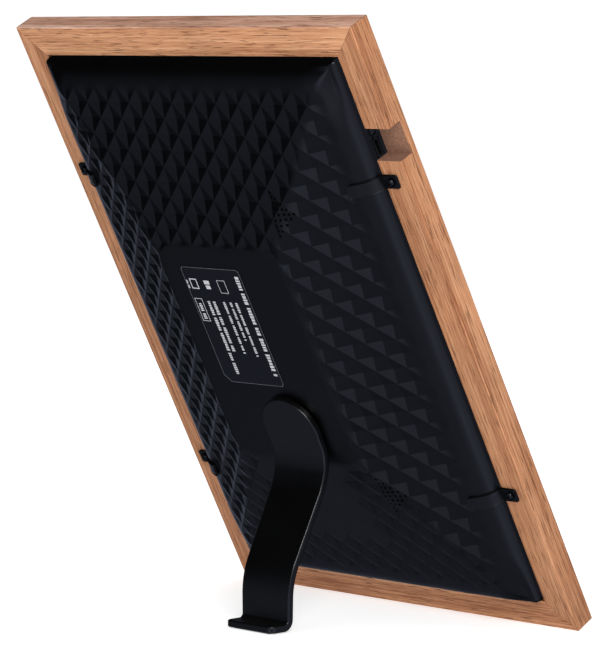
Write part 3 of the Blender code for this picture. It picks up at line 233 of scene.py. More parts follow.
def add_piece(name, mesh, material, body, replaces=(), matrix=PANEL, sharp=35.0, weighted=True):
    """Place a finished mesh in the frame, tie it to its body and hide the nodes it replaces."""
    mesh.transform(matrix)
    mesh.shade_smooth()
    mesh.set_sharp_from_angle(angle=math.radians(sharp))
    if not mesh.materials:
        mesh.materials.append(material)
    obj = new_object(name, mesh)
    if weighted:
        modifier = obj.modifiers.new("weighted_normals", "WEIGHTED_NORMAL")
        modifier.keep_sharp = True
        modifier.weight = 100
    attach(obj, body)
    if replaces:
        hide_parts(*replaces)
    return obj


def boolean(mesh, cutter, material, operation="DIFFERENCE"):
    """The mesh cut by, or joined with, the cutter, whose new faces take the given material."""
    cutter.materials.append(material)
    target = new_object("boolean_target", mesh)
    tool = new_object("boolean_tool", cutter)
    modifier = target.modifiers.new("boolean", "BOOLEAN")
    modifier.operation = operation
    modifier.solver = "EXACT"
    modifier.material_mode = "TRANSFER"
    modifier.object = tool
    bpy.context.view_layer.update()
    result = bpy.data.meshes.new_from_object(target.evaluated_get(bpy.context.evaluated_depsgraph_get()))
    result.name = mesh.name
    for obj in (target, tool):
        bpy.data.objects.remove(obj, do_unlink=True)
    return result


# -------- materials

NOISE_RANGE = (0.3, 0.7)
WOOD_SHADES = (
    (0.20, (0.235, 0.084, 0.034)),
    (0.40, (0.365, 0.150, 0.067)),
    (0.60, (0.450, 0.206, 0.098)),
    (0.82, (0.545, 0.275, 0.145)),
)
WOOD_PORE = (0.17, 0.062, 0.026)
# Layers of the veneer: stretch along the grain, scale, detail, roughness, distortion, the range of
# the noise that counts, and the layer's share
WOOD_BANDS = (0.06, 120.0, 3.0, 0.55, 0.5, (0.32, 0.68), 0.32)
WOOD_STREAKS = (0.012, 1300.0, 3.0, 0.6, 0.0, (0.34, 0.66), 0.38)
WOOD_FIBRES = (0.03, 3200.0, 2.0, 0.6, 0.0, (0.32, 0.68), 0.30)
WOOD_PORES = (0.045, 2100.0, 2.0, 0.5, 0.0, (0.60, 0.65), 0.80)
WOOD_BLOTCH_SCALE = 22.0
WOOD_BLOTCH = (0.90, 1.08)
WOOD_ROUGHNESS = (0.62, 0.48)
WOOD_RELIEF = 0.06 * MM
FIBREBOARD_SHADES = (
    (0.36, (0.14, 0.061, 0.034)),
    (0.50, (0.25, 0.122, 0.074)),
    (0.64, (0.34, 0.180, 0.115)),
)
PLASTIC_TINTS = (0.92, 1.08)
PLASTIC_GLOSS_SPREAD = 0.03
METAL_TINTS = (0.85, 1.1)
METAL_GLOSS = (-0.06, 0.08)
INK_TINT = 0.85
# Scale, detail and, for the card, roughness
INK_TEXTURE = (3000.0, 2.0)
FILM_TEXTURE = (1400.0, 1.0)
CARD_TEXTURE = (1500.0, 4.0, 0.7)
CARD_SHADES = ((0.3, (0.80, 0.79, 0.75)), (0.7, (0.88, 0.87, 0.84)))
FILM_SHADES = ((0.45, (0.45, 0.20, 0.04)), (0.55, (0.62, 0.34, 0.09)))
BOARD_SHADES = ((0.02, (0.02, 0.20, 0.09)), (0.10, (0.008, 0.085, 0.04)))
SCREEN_SHADES = ((0.35, (0.008, 0.009, 0.012)), (0.65, (0.016, 0.018, 0.024)))
MIX_COLOUR_SOCKETS = (6, 7)


def scaled(colour, share):
    return tuple(min(1.0, share * channel) for channel in colour)


class Nodes:
    """Short calls for building a node tree."""

    def __init__(self, tree):
        self.tree = tree

    def add(self, kind, inputs=None, **settings):
        node = self.tree.nodes.new(kind)
        for key, value in settings.items():
            setattr(node, key, value)
        for key, value in (inputs or {}).items():
            self.set(node, key, value)
        return node

    def set(self, node, key, value):
        if isinstance(value, bpy.types.NodeSocket):
            self.tree.links.new(value, node.inputs[key])
        else:
            node.inputs[key].default_value = value

    def coordinates(self, scale=(1.0, 1.0, 1.0), shift=(0.0, 0.0, 0.0)):
        """Object coordinates turned upright, so that x runs across the panel and z up along it."""
        source = self.add("ShaderNodeTexCoord").outputs["Object"]
        upright = self.add("ShaderNodeMapping", {"Vector": source, "Rotation": (LEAN, 0.0, 0.0)})
        mapping = self.add("ShaderNodeMapping", {
            "Vector": upright.outputs["Vector"], "Scale": scale, "Location": shift})
        return mapping.outputs["Vector"]

    def noise(self, vector, scale, detail=3.0, roughness=0.5, distortion=0.0):
        return self.add("ShaderNodeTexNoise", {
            "Vector": vector, "Scale": scale, "Detail": detail,
            "Roughness": roughness, "Distortion": distortion}).outputs["Fac"]

    def remap(self, value, low, high, to_low=0.0, to_high=1.0):
        return self.add("ShaderNodeMapRange", {
            "Value": value, "From Min": low, "From Max": high,
            "To Min": to_low, "To Max": to_high}).outputs["Result"]

    def spread(self, value, to_low, to_high):
        """Map the range that noise mostly stays in onto another range."""
        return self.remap(value, *NOISE_RANGE, to_low, to_high)

    def ramp(self, value, stops):
        node = self.add("ShaderNodeValToRGB", {"Fac": value})
        elements = node.color_ramp.elements
        while len(elements) < len(stops):
            elements.new(0.5)
        for element, (position, colour) in zip(elements, stops):
            element.position = position
            element.color = (*colour, 1.0)
        return node.outputs["Color"]

    def shade(self, value, dark, light):
        """A colour between two, over the range that noise mostly stays in."""
        return self.ramp(value, list(zip(NOISE_RANGE, (dark, light))))

    def mix(self, factor, first, second, blend="MIX"):
        node = self.add("ShaderNodeMix", data_type="RGBA", blend_type=blend)
        self.set(node, 0, factor)
        for index, value in zip(MIX_COLOUR_SOCKETS, (first, second)):
            self.set(node, index, value if isinstance(value, bpy.types.NodeSocket) else (*value, 1.0))
        return node.outputs[2]

    def math(self, operation, first, second):
        node = self.add("ShaderNodeMath", operation=operation)
        self.set(node, 0, first)
        self.set(node, 1, second)
        return node.outputs[0]

    def bump(self, height, distance):
        inputs = {"Height": height, "Distance": distance, "Strength": 1.0}
        return self.add("ShaderNodeBump", inputs).outputs["Normal"]


class MaterialNodes(Nodes):
    """A new material's node tree."""

    def __init__(self, name):
        self.material = bpy.data.materials.new(name)
        self.material.use_nodes = True
        super().__init__(self.material.node_tree)
        self.shader = self.tree.nodes["Principled BSDF"]

    def finish(self, **sockets):
        """Set the shader's sockets, named in lower case, and return the material."""
        for key, value in sockets.items():
            name = key.replace("_", " ").title().replace("Ior", "IOR")
            if key == "base_color" and not isinstance(value, bpy.types.NodeSocket):
                value = (*value, 1.0)
            self.set(self.shader, name, value)
        return self.material


def wood_material(name, along, shift, lift):
    """Open-pored veneer with its grain along one panel axis, its shades raised by channel; the edge copies
    are raised further as painted highlight.
    """
    n = MaterialNodes(name)

    def layer(share, scale, detail, roughness, distortion, span, weight):
        """A stretched noise's level and the level times its weight."""
        stretch = {"x": (share, 1.0, 1.0), "z": (1.0, 1.0, share)}[along]
        noise = n.noise(n.coordinates(stretch, shift=shift), scale, detail, roughness, distortion)
        level = n.remap(noise, *span)
        return level, n.math("MULTIPLY", level, weight)

    bands = layer(*WOOD_BANDS)[1]
    streak_level, streaks = layer(*WOOD_STREAKS)
    fibres = layer(*WOOD_FIBRES)[1]
    pores = layer(*WOOD_PORES)[1]
    tone = n.math("ADD", n.math("ADD", bands, streaks), fibres)
    shades = [(level, tuple(share * c for share, c in zip(lift, shade))) for level, shade in WOOD_SHADES]
    colour = n.mix(pores, n.ramp(tone, shades), WOOD_PORE)
    blotch = n.spread(n.noise(n.coordinates(), WOOD_BLOTCH_SCALE, detail=2.0), *WOOD_BLOTCH)
    grey = n.add("ShaderNodeCombineColor", {"Red": blotch, "Green": blotch, "Blue": blotch}).outputs[0]
    colour = n.mix(1.0, colour, grey, "MULTIPLY")
    relief = n.math("SUBTRACT", n.math("MULTIPLY", streak_level, 0.5), pores)
    return n.finish(base_color=colour, roughness=n.spread(streak_level, *WOOD_ROUGHNESS),
                    normal=n.bump(relief, WOOD_RELIEF), specular_ior_level=0.3)


def mdf_material():
    """Sawn fibreboard: matt, speckled and slightly rough."""
    n = MaterialNodes("fibreboard")
    coarse = n.noise(n.coordinates(), scale=900.0, detail=5.0, roughness=0.7)
    fibres = n.noise(n.coordinates(scale=(1.0, 2.5, 0.6)), scale=2600.0, detail=3.0, roughness=0.6)
    tone = n.math("ADD", n.math("MULTIPLY", coarse, 0.5), n.math("MULTIPLY", fibres, 0.5))
    return n.finish(base_color=n.ramp(tone, FIBREBOARD_SHADES), roughness=0.9, normal=n.bump(tone, 0.08 * MM))


def plastic_material(name, colour, roughness, grain=5200.0, depth=0.012 * MM, specular=0.5):
    """Moulded plastic with a fine spark-eroded grain and faint uneven gloss."""
    n = MaterialNodes(name)
    texture = n.noise(n.coordinates(), grain, detail=2.0, roughness=0.6)
    cloud = n.noise(n.coordinates(), scale=55.0, detail=3.0)
    gloss = n.spread(cloud, roughness - PLASTIC_GLOSS_SPREAD, roughness + PLASTIC_GLOSS_SPREAD)
    tint = n.shade(cloud, *(scaled(colour, share) for share in PLASTIC_TINTS))
    return n.finish(base_color=tint, roughness=gloss, normal=n.bump(texture, depth),
                    specular_ior_level=specular)


def metal_material(name, colour, roughness, metallic=1.0, brushed=(1.0, 1.0, 0.08)):
    """Metal or thin paint on it, with fine lines that follow the stretch of brushed."""
    n = MaterialNodes(name)
    lines = n.noise(n.coordinates(brushed), scale=3000.0, detail=3.0, roughness=0.6)
    worn = n.noise(n.coordinates(), scale=400.0, detail=3.0)
    gloss = n.spread(worn, *(roughness + change for change in METAL_GLOSS))
    tint = n.shade(lines, *(scaled(colour, share) for share in METAL_TINTS))
    return n.finish(base_color=tint, roughness=gloss, metallic=metallic, normal=n.bump(lines, 0.006 * MM))


def stock_material(name, shades, roughness, depth, texture, stretch=(1.0, 1.0, 1.0)):
    """Card, film or ink, whose shade and relief follow one noise, given by its scale and detail."""
    n = MaterialNodes(name)
    level = n.noise(n.coordinates(stretch), *texture)
    return n.finish(base_color=n.ramp(level, shades), roughness=roughness, normal=n.bump(level, depth))


def ink_material(name, colour):
    shades = list(zip(NOISE_RANGE, (scaled(colour, INK_TINT), colour)))
    return stock_material(name, shades, 0.5, 0.004 * MM, INK_TEXTURE)


def glass_material():
    """Clear glass with faint smudges."""
    n = MaterialNodes("clear_glass")
    smudge = n.remap(n.noise(n.coordinates(), scale=40.0), low=0.35, high=0.75, to_high=0.035)
    return n.finish(base_color=(0.98, 0.99, 0.985), roughness=smudge, transmission_weight=1.0, ior=1.5)


def screen_material():
    """A switched-off display: dark, faintly blue, with a very fine speckle."""
    n = MaterialNodes("display_off")
    speckle = n.noise(n.coordinates(), scale=4000.0, detail=1.0)
    glow = n.noise(n.coordinates(), scale=12.0, detail=2.0)
    tone = n.math("ADD", n.math("MULTIPLY", speckle, 0.3), n.math("MULTIPLY", glow, 0.7))
    roughness = n.spread(glow, to_low=0.08, to_high=0.12)
    return n.finish(base_color=n.ramp(tone, SCREEN_SHADES), roughness=roughness)


def board_material():
    """Green circuit board with squared-off tracks."""
    n = MaterialNodes("circuit_board")
    tracks = n.add("ShaderNodeTexVoronoi", {"Vector": n.coordinates(), "Scale": 420.0},
                   feature="DISTANCE_TO_EDGE", distance="MANHATTAN").outputs["Distance"]
    return n.finish(base_color=n.ramp(tracks, BOARD_SHADES), roughness=0.35, normal=n.bump(tracks, 0.02 * MM))


BLACK = (0.0004, 0.0004, 0.0005)
MATERIALS = {
    "wood_upright": wood_material("veneer_upright", "z", (0.0, 0.0, 0.0), (1.06, 1.06, 1.06)),
    "wood_level": wood_material("veneer_level", "x", (0.3, 0.7, 0.2), (1.25, 1.30, 1.33)),
    # The edge materials are lighter, cooler copies of the veneer: a painted highlight on the rounded edges
    # and painted light on the level rails' outer sides
    "edge_upright": wood_material("veneer_painted_highlight_upright", "z", (0.0, 0.1, 0.0), (1.25, 1.25, 1.28)),
    "edge_level": wood_material("veneer_painted_highlight_level", "x", (0.3, 0.8, 0.2), (1.50, 1.93, 2.90)),
    "mdf": mdf_material(),
    "shell": plastic_material("shell_plastic", BLACK, 0.35),
    "leg": plastic_material("leg_plastic", (0.0008, 0.0009, 0.0011), 0.33, specular=0.76),
    "housing": plastic_material("housing_plastic", (0.003, 0.003, 0.0035), 0.6),
    "button": plastic_material("button_plastic", (0.010, 0.010, 0.011), 0.45),
    "label": plastic_material("label_film", (0.0020, 0.0026, 0.0048), 0.35, 3000.0, 0.004 * MM),
    "ink": ink_material("label_ink", (0.52, 0.53, 0.56)),
    "outline": ink_material("label_outline", (0.10, 0.105, 0.12)),
    "clip": metal_material("clip_paint", (0.0012, 0.0013, 0.0016), 0.40, 0.0),
    "black_screw": metal_material("black_screw", (0.055, 0.055, 0.058), 0.30, 1.0, (1.0, 1.0, 1.0)),
    "rubber": plastic_material("pad_rubber", (0.018, 0.018, 0.018), 0.85, 1800.0, 0.04 * MM),
    "card": stock_material("mat_card", CARD_SHADES, 0.9, 0.02 * MM, CARD_TEXTURE),
    "glass": glass_material(),
    "screen": screen_material(),
    "steel": metal_material("plain_steel", (0.55, 0.56, 0.58), 0.34),
    "tin": metal_material("tin_plate", (0.62, 0.62, 0.60), 0.30),
    "brass": metal_material("plain_brass", (0.62, 0.47, 0.20), 0.30),
    "board": board_material(),
    "chip": plastic_material("chip_package", (0.015, 0.015, 0.016), 0.5),
    "film": stock_material("amber_film", FILM_SHADES, 0.35, 0.01 * MM, FILM_TEXTURE, (1.0, 1.0, 0.02)),
    "speaker": plastic_material("speaker_paper", (0.03, 0.03, 0.032), 0.7, 1500.0, 0.03 * MM),
}


# -------- wooden rails

RAIL_INNER_RADIUS = RAIL_EDGE_RADIUS * 0.6
# The depth part of a face's normal above which it takes the painted edge highlight, and where the flat back
# starts
PAINTED_HIGHLIGHT_FACING = {"upright": 0.2, "level": -0.98}
BACK_FACING = 0.98


def rail_profile():
    """Cross-section of a rail as (distance from its outer side, depth), with the lip over the glass."""
    inner = RAIL_WIDTH + LIP_WIDTH
    lip_back = LIP_DEPTH - FRAME_DEPTH
    return fillet_outline([
        (0.0, -FRAME_DEPTH, RAIL_EDGE_RADIUS),
        (inner, -FRAME_DEPTH, RAIL_EDGE_RADIUS),
        (inner, lip_back, 0.0),
        (RAIL_WIDTH, lip_back, 0.0),
        (RAIL_WIDTH, 0.0, RAIL_INNER_RADIUS),
        (0.0, 0.0, RAIL_EDGE_RADIUS),
    ], FILLET_STEPS)


def rail_mesh(name, length, place):
    """A rail mitred at both ends, with place turning (along, inward, depth) into a panel point."""
    back_off = MITRE_GAP / math.sqrt(2.0)
    loops = []
    for end in (-1.0, 1.0):
        loops.append([place(end * (length / 2.0 - inward - back_off), inward, depth)
                      for inward, depth in rail_profile()])
    return loft_mesh(name, loops)


def make_rails():
    right = FRAME_WIDTH / 2.0
    places = {
        "bottom": (FRAME_WIDTH, "level", lambda a, i, d: Vector((a, d, i))),
        "top": (FRAME_WIDTH, "level", lambda a, i, d: Vector((a, d, FRAME_HEIGHT - i))),
        "left": (FRAME_HEIGHT, "upright", lambda a, i, d: Vector((i - right, d, MIDDLE + a))),
        "right": (FRAME_HEIGHT, "upright", lambda a, i, d: Vector((right - i, d, MIDDLE + a))),
    }
    for side, (length, grain, place) in places.items():
        mesh = rail_mesh(f"veneer_rail_{side}", length, place)
        wood = MATERIALS[f"wood_{grain}"]
        mesh.materials.append(wood)
        mesh.materials.append(MATERIALS[f"edge_{grain}"])
        for face in mesh.polygons:
            # Edge faces take the copy of the veneer with the painted highlight
            face.material_index = int(takes_painted_edge_highlight(face, grain))
        if side == "left":
            mesh = cut_notch(mesh)
        rail = add_piece(f"veneer_rail_{side}", mesh, wood, "frame_body", [f"rail_{side}"])
        rail.visible_glossy = False


def takes_painted_edge_highlight(face, grain):
    """Whether a face takes the painted highlight: the rounded edge by the back, or a level rail's outer side
    or front edge.
    """
    x, _, z = face.center
    outside = max(abs(x) - FRAME_WIDTH / 2.0, abs(z - MIDDLE) - FRAME_HEIGHT / 2.0) + RAIL_EDGE_RADIUS
    return outside > 0.0 and PAINTED_HIGHLIGHT_FACING[grain] < face.normal.y < BACK_FACING


def cut_notch(mesh):
    """Cut the notch beside the socket and the button, which bares the fibreboard core."""
    inside = -FRAME_WIDTH / 2.0 + RAIL_WIDTH + LIP_WIDTH / 2.0
    cutter = box_mesh("notch", (-FRAME_WIDTH, -NOTCH_DEPTH, NOTCH_BOTTOM), (inside, RAIL_WIDTH, NOTCH_TOP))
    return boolean(mesh, cutter, MATERIALS["mdf"])


# -------- rear shell

GRID_STEPS = 8
HALF_PITCH_X = FACET_PITCH_X / 2.0
HALF_PITCH_Z = FACET_PITCH_Z / 2.0
EDGE_LINES = (0.0, 0.06 * MM, 0.2 * MM, 0.45 * MM, 0.8 * MM, 1.3 * MM, 2.0 * MM, 2.9 * MM)
EDGE_GAP_STEPS = 0.4
RIM_ROUND = 3.0 * MM
RIM_SPAN = 4.6 * MM
CORNER_DROP = 2.4 * MM
CORNER_SPAN = (14.0 * MM, 26.0 * MM)
FIELD_HALF = (75.5 * MM, 112.5 * MM)
FIELD_CORNER = 6.0 * MM
FIELD_FADE = 7.0 * MM
PLATEAU_FADE = 2.0 * MM
PATCH = (-22.0 * MM, 25.0 * MM, -93.0 * MM, -40.0 * MM)
CREASE_ROUND = 0.9 * MM
HOLE_RADIUS = 0.55 * MM
HOLE_SEGMENTS = 14
HOLE_PITCH_X = 2.33 * MM
HOLE_PITCH_Z = 2.15 * MM
HOLE_REACH = 4
HOLE_MARGIN = 0.18 * MM
GRILLE_MARGIN_PITCHES = 0.6
PIVOT_MARGIN = 1.5 * MM
CAVITY_CORNER_RADIUS = MM
CAVITY_CREASE_INSET = MM
FILL_TOLERANCE = 1e-7
SHELL_SHARP_ANGLE = 9.0


def smooth_min(a, b, k):
    """The smaller of two values, rounded over where they come within k of each other."""
    h = np.maximum(k - np.abs(a - b), 0.0) / k
    return np.minimum(a, b) - h * h * k / 4.0


def smooth_step(t):
    t = np.clip(t, 0.0, 1.0)
    return t * t * (3.0 - 2.0 * t)


def box_distance(x, v, half_x, half_z, radius):
    """Distance to a rounded rectangle, negative inside it."""
    dx = np.abs(x) - half_x + radius
    dv = np.abs(v) - half_z + radius
    outside = np.hypot(np.maximum(dx, 0.0), np.maximum(dv, 0.0))
    return outside + np.minimum(np.maximum(dx, dv), 0.0) - radius


def slope_height(distance, half_size, plateau_half, slope):
    """A straight slope down from the plateau that curves to the rim's height over a band beside it."""
    plane = PLATEAU_HEIGHT - slope * (np.abs(distance) - plateau_half)
    plane_at_rim = PLATEAU_HEIGHT - slope * (half_size - plateau_half)
    inset = half_size - np.abs(distance)
    return plane - (plane_at_rim - RIM_HEIGHT) * np.maximum(0.0, 1.0 - inset / RIM_BAND) ** 2


def dimple(x, v):
    """Depth share of the diamond facets, with whole diamonds left out over the smooth patch."""
    a = x / HALF_PITCH_X
    b = (v - FACET_ROW_OFFSET) / HALF_PITCH_Z
    rising = np.mod(a + b, 2.0) - 1.0
    falling = np.mod(a - b, 2.0) - 1.0
    centre_x = (a - (rising + falling) / 2.0) * HALF_PITCH_X
    centre_v = (b - (rising - falling) / 2.0) * HALF_PITCH_Z + FACET_ROW_OFFSET
    low_x, high_x, low_v, high_v = PATCH
    flat = (centre_x > low_x) & (centre_x < high_x) & (centre_v > low_v) & (centre_v < high_v)
    return np.where(flat, 0.0, 1.0 - np.maximum(np.abs(rising), np.abs(falling)))


def shell_height(x, v):
    """Height of the outer skin at panel places (x, v), where v counts from the panel's middle."""
    side = slope_height(x, SHELL_HALF_X, PLATEAU_HALF_X, SLOPE_X)
    end = slope_height(v, SHELL_HALF_Z, PLATEAU_HALF_Z, SLOPE_Z)
    height = smooth_min(smooth_min(side, end, CREASE_ROUND), PLATEAU_HEIGHT, CREASE_ROUND * 0.5)
    field = smooth_step(-box_distance(x, v, *FIELD_HALF, FIELD_CORNER) / FIELD_FADE)
    off_plateau = box_distance(x, v, PLATEAU_HALF_X, PLATEAU_HALF_Z, PLATEAU_CORNER_RADIUS)
    height = height - FACET_DEPTH * dimple(x, v) * field * smooth_step(off_plateau / PLATEAU_FADE)
    edge = -box_distance(x, v, SHELL_HALF_X, SHELL_HALF_Z, SHELL_CORNER_RADIUS)
    near_x = smooth_step(1.0 - (SHELL_HALF_X - np.abs(x)) / CORNER_SPAN[0])
    near_v = smooth_step(1.0 - (SHELL_HALF_Z - np.abs(v)) / CORNER_SPAN[1])
    drop = CORNER_DROP * near_x * near_v * smooth_step(edge / RIM_ROUND)
    return height - drop - rim_drop(edge)


def rim_drop(inset):
    """How far the rim has rounded off at an inset from the shell's edge."""
    bite = np.clip(1.0 - inset / RIM_SPAN, 0.0, 1.0)
    return RIM_ROUND * (1.0 - np.sqrt(1.0 - bite**3))


def cavity_height(x, v):
    """Height of the inner skin: a flat roof under the plateau and four plain slopes."""
    roof = PLATEAU_HEIGHT - PLATEAU_THICKNESS
    rise = roof - CAVITY_EDGE_HEIGHT
    heights = [np.full_like(x, roof)]
    for distance, half_size, plateau_half in (
        (np.abs(x), SHELL_HALF_X - SHELL_WALL, PLATEAU_HALF_X - CAVITY_INSET),
        (np.abs(v), SHELL_HALF_Z - SHELL_WALL, PLATEAU_HALF_Z - CAVITY_INSET),
    ):
        heights.append(CAVITY_EDGE_HEIGHT + rise * (half_size - distance) / (half_size - plateau_half))
    return np.maximum(CAVITY_EDGE_HEIGHT, np.minimum.reduce(heights))


def grid_lines(half_size, half_pitch, offset):
    """The first lattice line's number and all the grid lines, finer where the rim rounds off."""
    step = half_pitch / GRID_STEPS
    keep = half_size - EDGE_LINES[-1] - step * EDGE_GAP_STEPS
    first = math.ceil((-keep - offset) / step)
    last = math.floor((keep - offset) / step)
    low = [-half_size + inset for inset in EDGE_LINES]
    inner = [offset + index * step for index in range(first, last + 1)]
    high = [half_size - inset for inset in reversed(EDGE_LINES)]
    return first, low + inner + high


def round_corners(x, v):
    """Bend the grid's square corners onto the shell's rounded ones."""
    radius = SHELL_CORNER_RADIUS
    ax = (np.abs(x) - SHELL_HALF_X + radius) / radius
    av = (np.abs(v) - SHELL_HALF_Z + radius) / radius
    corner = (ax > 0.0) & (av > 0.0)
    squeeze_x = np.sqrt(np.maximum(1.0 - av * av / 2.0, 0.0))
    squeeze_v = np.sqrt(np.maximum(1.0 - ax * ax / 2.0, 0.0))
    bent_x = np.sign(x) * (SHELL_HALF_X - radius + radius * ax * squeeze_x)
    bent_v = np.sign(v) * (SHELL_HALF_Z - radius + radius * av * squeeze_v)
    return np.where(corner, bent_x, x), np.where(corner, bent_v, v)


def grille_circles(height):
    """A triangle of small sound holes with an upright row along its inner side."""
    holes = []
    for column in range(HOLE_REACH + 1):
        rows = HOLE_REACH - column
        for row in range(-rows, rows + 1):
            centre = (GRILLE_X - column * HOLE_PITCH_X, height - MIDDLE + row * HOLE_PITCH_Z)
            holes.append(circle(centre, HOLE_RADIUS, HOLE_SEGMENTS))
    return holes


def shell_openings():
    """Each opening's middle, the reach of the grid block rebuilt for it, and its holes."""
    hub = (HUB_X, HUB_Z - MIDDLE)
    pivot = circle(hub, BOSS_RADIUS + HEAD_CLEARANCE, ROUND_SEGMENTS)
    openings = [(hub, BOSS_RADIUS + PIVOT_MARGIN, [pivot])]
    for height in GRILLE_HEIGHTS:
        middle = (GRILLE_X - HOLE_REACH * HOLE_PITCH_X / 2.0, height - MIDDLE)
        reach = (HOLE_REACH + GRILLE_MARGIN_PITCHES) * HOLE_PITCH_Z
        openings.append((middle, reach, grille_circles(height)))
    return openings


def lines_around(lines, middle, reach):
    """Numbers of the grid lines just outside a reach on both sides of a middle."""
    low = max(index for index, place in enumerate(lines) if place < middle - reach)
    high = min(index for index, place in enumerate(lines) if place > middle + reach)
    return low, high


def region_fill(points, edges, outer, holes):
    """Triangles that fill an outline around its holes and keep to the given edges."""
    flat = [Vector(p) for p in points]
    vertices, _, triangles = delaunay_2d_cdt(flat, edges, [], 0, FILL_TOLERANCE)[:3]
    kept = []
    for triangle in triangles:
        middle = sum((vertices[index] for index in triangle), Vector((0.0, 0.0))) / 3.0
        if contains(outer, middle) and not any(contains(hole, middle) for hole in holes):
            kept.append(tuple(triangle))
    return vertices, kept


def loop_edges(start, count):
    """The edges of a closed loop of vertices that starts at a number."""
    return [(start + step, start + (step + 1) % count) for step in range(count)]


def shell_mesh(name):
    """The dimpled skin on a fine grid, pierced by its holes, closed by walls and a cavity."""
    first_x, xs = grid_lines(SHELL_HALF_X, HALF_PITCH_X, 0.0)
    first_v, vs = grid_lines(SHELL_HALF_Z, HALF_PITCH_Z, FACET_ROW_OFFSET)
    columns, rows = len(xs), len(vs)
    grid_x, grid_v = round_corners(*np.meshgrid(np.array(xs), np.array(vs), indexing="ij"))
    heights = shell_height(grid_x, grid_v)
    vertices = [Vector((x, y, MIDDLE + v)) for x, y, v in
                zip(grid_x.ravel().tolist(), heights.ravel().tolist(), grid_v.ravel().tolist())]
    faces = []

    def rises(column, row):
        """Whether a cell's diagonal rises, so that it runs along the facets' edges."""
        block_x = (column - len(EDGE_LINES) + first_x) // GRID_STEPS
        block_v = (row - len(EDGE_LINES) + first_v) // GRID_STEPS
        return (block_x + block_v) % 2 == 0

    blocked = set()
    all_holes = []
    for (middle_x, middle_v), reach, holes in shell_openings():
        span = (*lines_around(xs, middle_x, reach), *lines_around(vs, middle_v, reach))
        blocked.update((c, r) for c in range(*span[:2]) for r in range(*span[2:]))
        pierce(vertices, faces, xs, vs, span, holes, rises)
        all_holes.extend(holes)
    for column in range(columns - 1):
        for row in range(rows - 1):
            if (column, row) in blocked:
                continue
            a = column * rows + row
            b, c, d = a + rows, a + rows + 1, a + 1
            if rises(column, row):
                faces += [(a, b, c), (a, c, d)]
            else:
                faces += [(a, b, d), (b, c, d)]
    close_shell(vertices, faces, grid_x, grid_v, all_holes)
    return mesh_from(name, vertices, faces)


def block_border(low_c, high_c, low_r, high_r):
    """The grid cells' corners round a block, in order."""
    border = [(c, low_r) for c in range(low_c, high_c)]
    border += [(high_c, r) for r in range(low_r, high_r)]
    border += [(c, high_r) for c in range(high_c, low_c, -1)]
    border += [(low_c, r) for r in range(high_r, low_r, -1)]
    return border


def pierce(vertices, faces, xs, vs, span, holes, rises):
    """Rebuild one block of the grid around its round holes, keeping the facets' edges."""
    low_c, high_c, low_r, high_r = span
    border = block_border(*span)
    outer = [Vector((xs[c], vs[r])) for c, r in border]
    points = list(outer)
    edges = loop_edges(0, len(points))
    index_of = {cell: index for index, cell in enumerate(border)}
    centres = [sum(hole, Vector((0.0, 0.0))) / len(hole) for hole in holes]
    radius = (holes[0][0] - centres[0]).length
    for c in range(low_c + 1, high_c):
        for r in range(low_r + 1, high_r):
            point = Vector((xs[c], vs[r]))
            if min((point - centre).length for centre in centres) > radius + HOLE_MARGIN:
                index_of[(c, r)] = len(points)
                points.append(point)
    for (c, r), index in index_of.items():
        for dc, dr in ((1, 0), (0, 1), (1, 1), (1, -1)):
            other = index_of.get((c + dc, r + dr))
            if other is None:
                continue
            if dc and dr and rises(c, min(r, r + dr)) != (dr > 0):
                continue
            edges.append((index, other))
    for hole in holes:
        edges += loop_edges(len(points), len(hole))
        points += hole
    filled, triangles = region_fill(points, edges, outer, holes)
    x = np.array([p.x for p in filled])
    v = np.array([p.y for p in filled])
    start = len(vertices)
    vertices += [Vector((px, py, MIDDLE + pv)) for px, py, pv in zip(x, shell_height(x, v), v)]
    faces += [tuple(start + index for index in triangle) for triangle in triangles]


def close_shell(vertices, faces, grid_x, grid_v, holes):
    """Outer wall, seam, inner wall, cavity and the walls of the holes."""
    columns, rows = grid_x.shape
    rim = [Vector((grid_x[cell], grid_v[cell])) for cell in block_border(0, columns - 1, 0, rows - 1)]
    cavity = rectangle(SHELL_HALF_X - SHELL_WALL, SHELL_HALF_Z - SHELL_WALL, CAVITY_CORNER_RADIUS)

    def heights(loop, function):
        """A loop's heights: by the function, or at the seam where there is none."""
        if function is None:
            return [SHELL_SEAM] * len(loop)
        return function(np.array([p[0] for p in loop]), np.array([p[1] for p in loop])).tolist()

    def wall(loop, upper, lower):
        """An upright wall along a loop between two height functions."""
        start = len(vertices)
        for function in (upper, lower):
            vertices.extend(Vector((p[0], y, MIDDLE + p[1])) for p, y in zip(loop, heights(loop, function)))
        faces.extend(ring_faces(2, len(loop), start))

    def surface(outer, inner_loops, function, lines=()):
        """A surface inside a loop at a function's heights, creased along the lines."""
        points, edges = [], []
        for loop in (outer, *inner_loops):
            edges += loop_edges(len(points), len(loop))
            points += loop
        for first, last in lines:
            edges.append((len(points), len(points) + 1))
            points += [first, last]
        filled, triangles = region_fill(points, edges, outer, inner_loops)
        start = len(vertices)
        vertices.extend(Vector((p.x, y, MIDDLE + p.y)) for p, y in zip(filled, heights(filled, function)))
        faces.extend(tuple(start + index for index in triangle) for triangle in triangles)

    roof_x = PLATEAU_HALF_X - CAVITY_INSET
    roof_z = PLATEAU_HALF_Z - CAVITY_INSET
    corners = [Vector((sx * roof_x, sz * roof_z)) for sx, sz in ((1, 1), (-1, 1), (-1, -1), (1, -1))]
    lines = list(zip(corners, corners[1:] + corners[:1]))
    edge_x = SHELL_HALF_X - SHELL_WALL - CAVITY_CREASE_INSET
    edge_z = SHELL_HALF_Z - SHELL_WALL - CAVITY_CREASE_INSET
    lines += [(p, Vector((math.copysign(edge_x, p.x), math.copysign(edge_z, p.y)))) for p in corners]
    wall(rim, shell_height, None)
    surface(rim, [cavity], None)
    wall(cavity, cavity_height, None)
    surface(cavity, holes, cavity_height, lines)
    for hole in holes:
        wall(hole, shell_height, cavity_height)


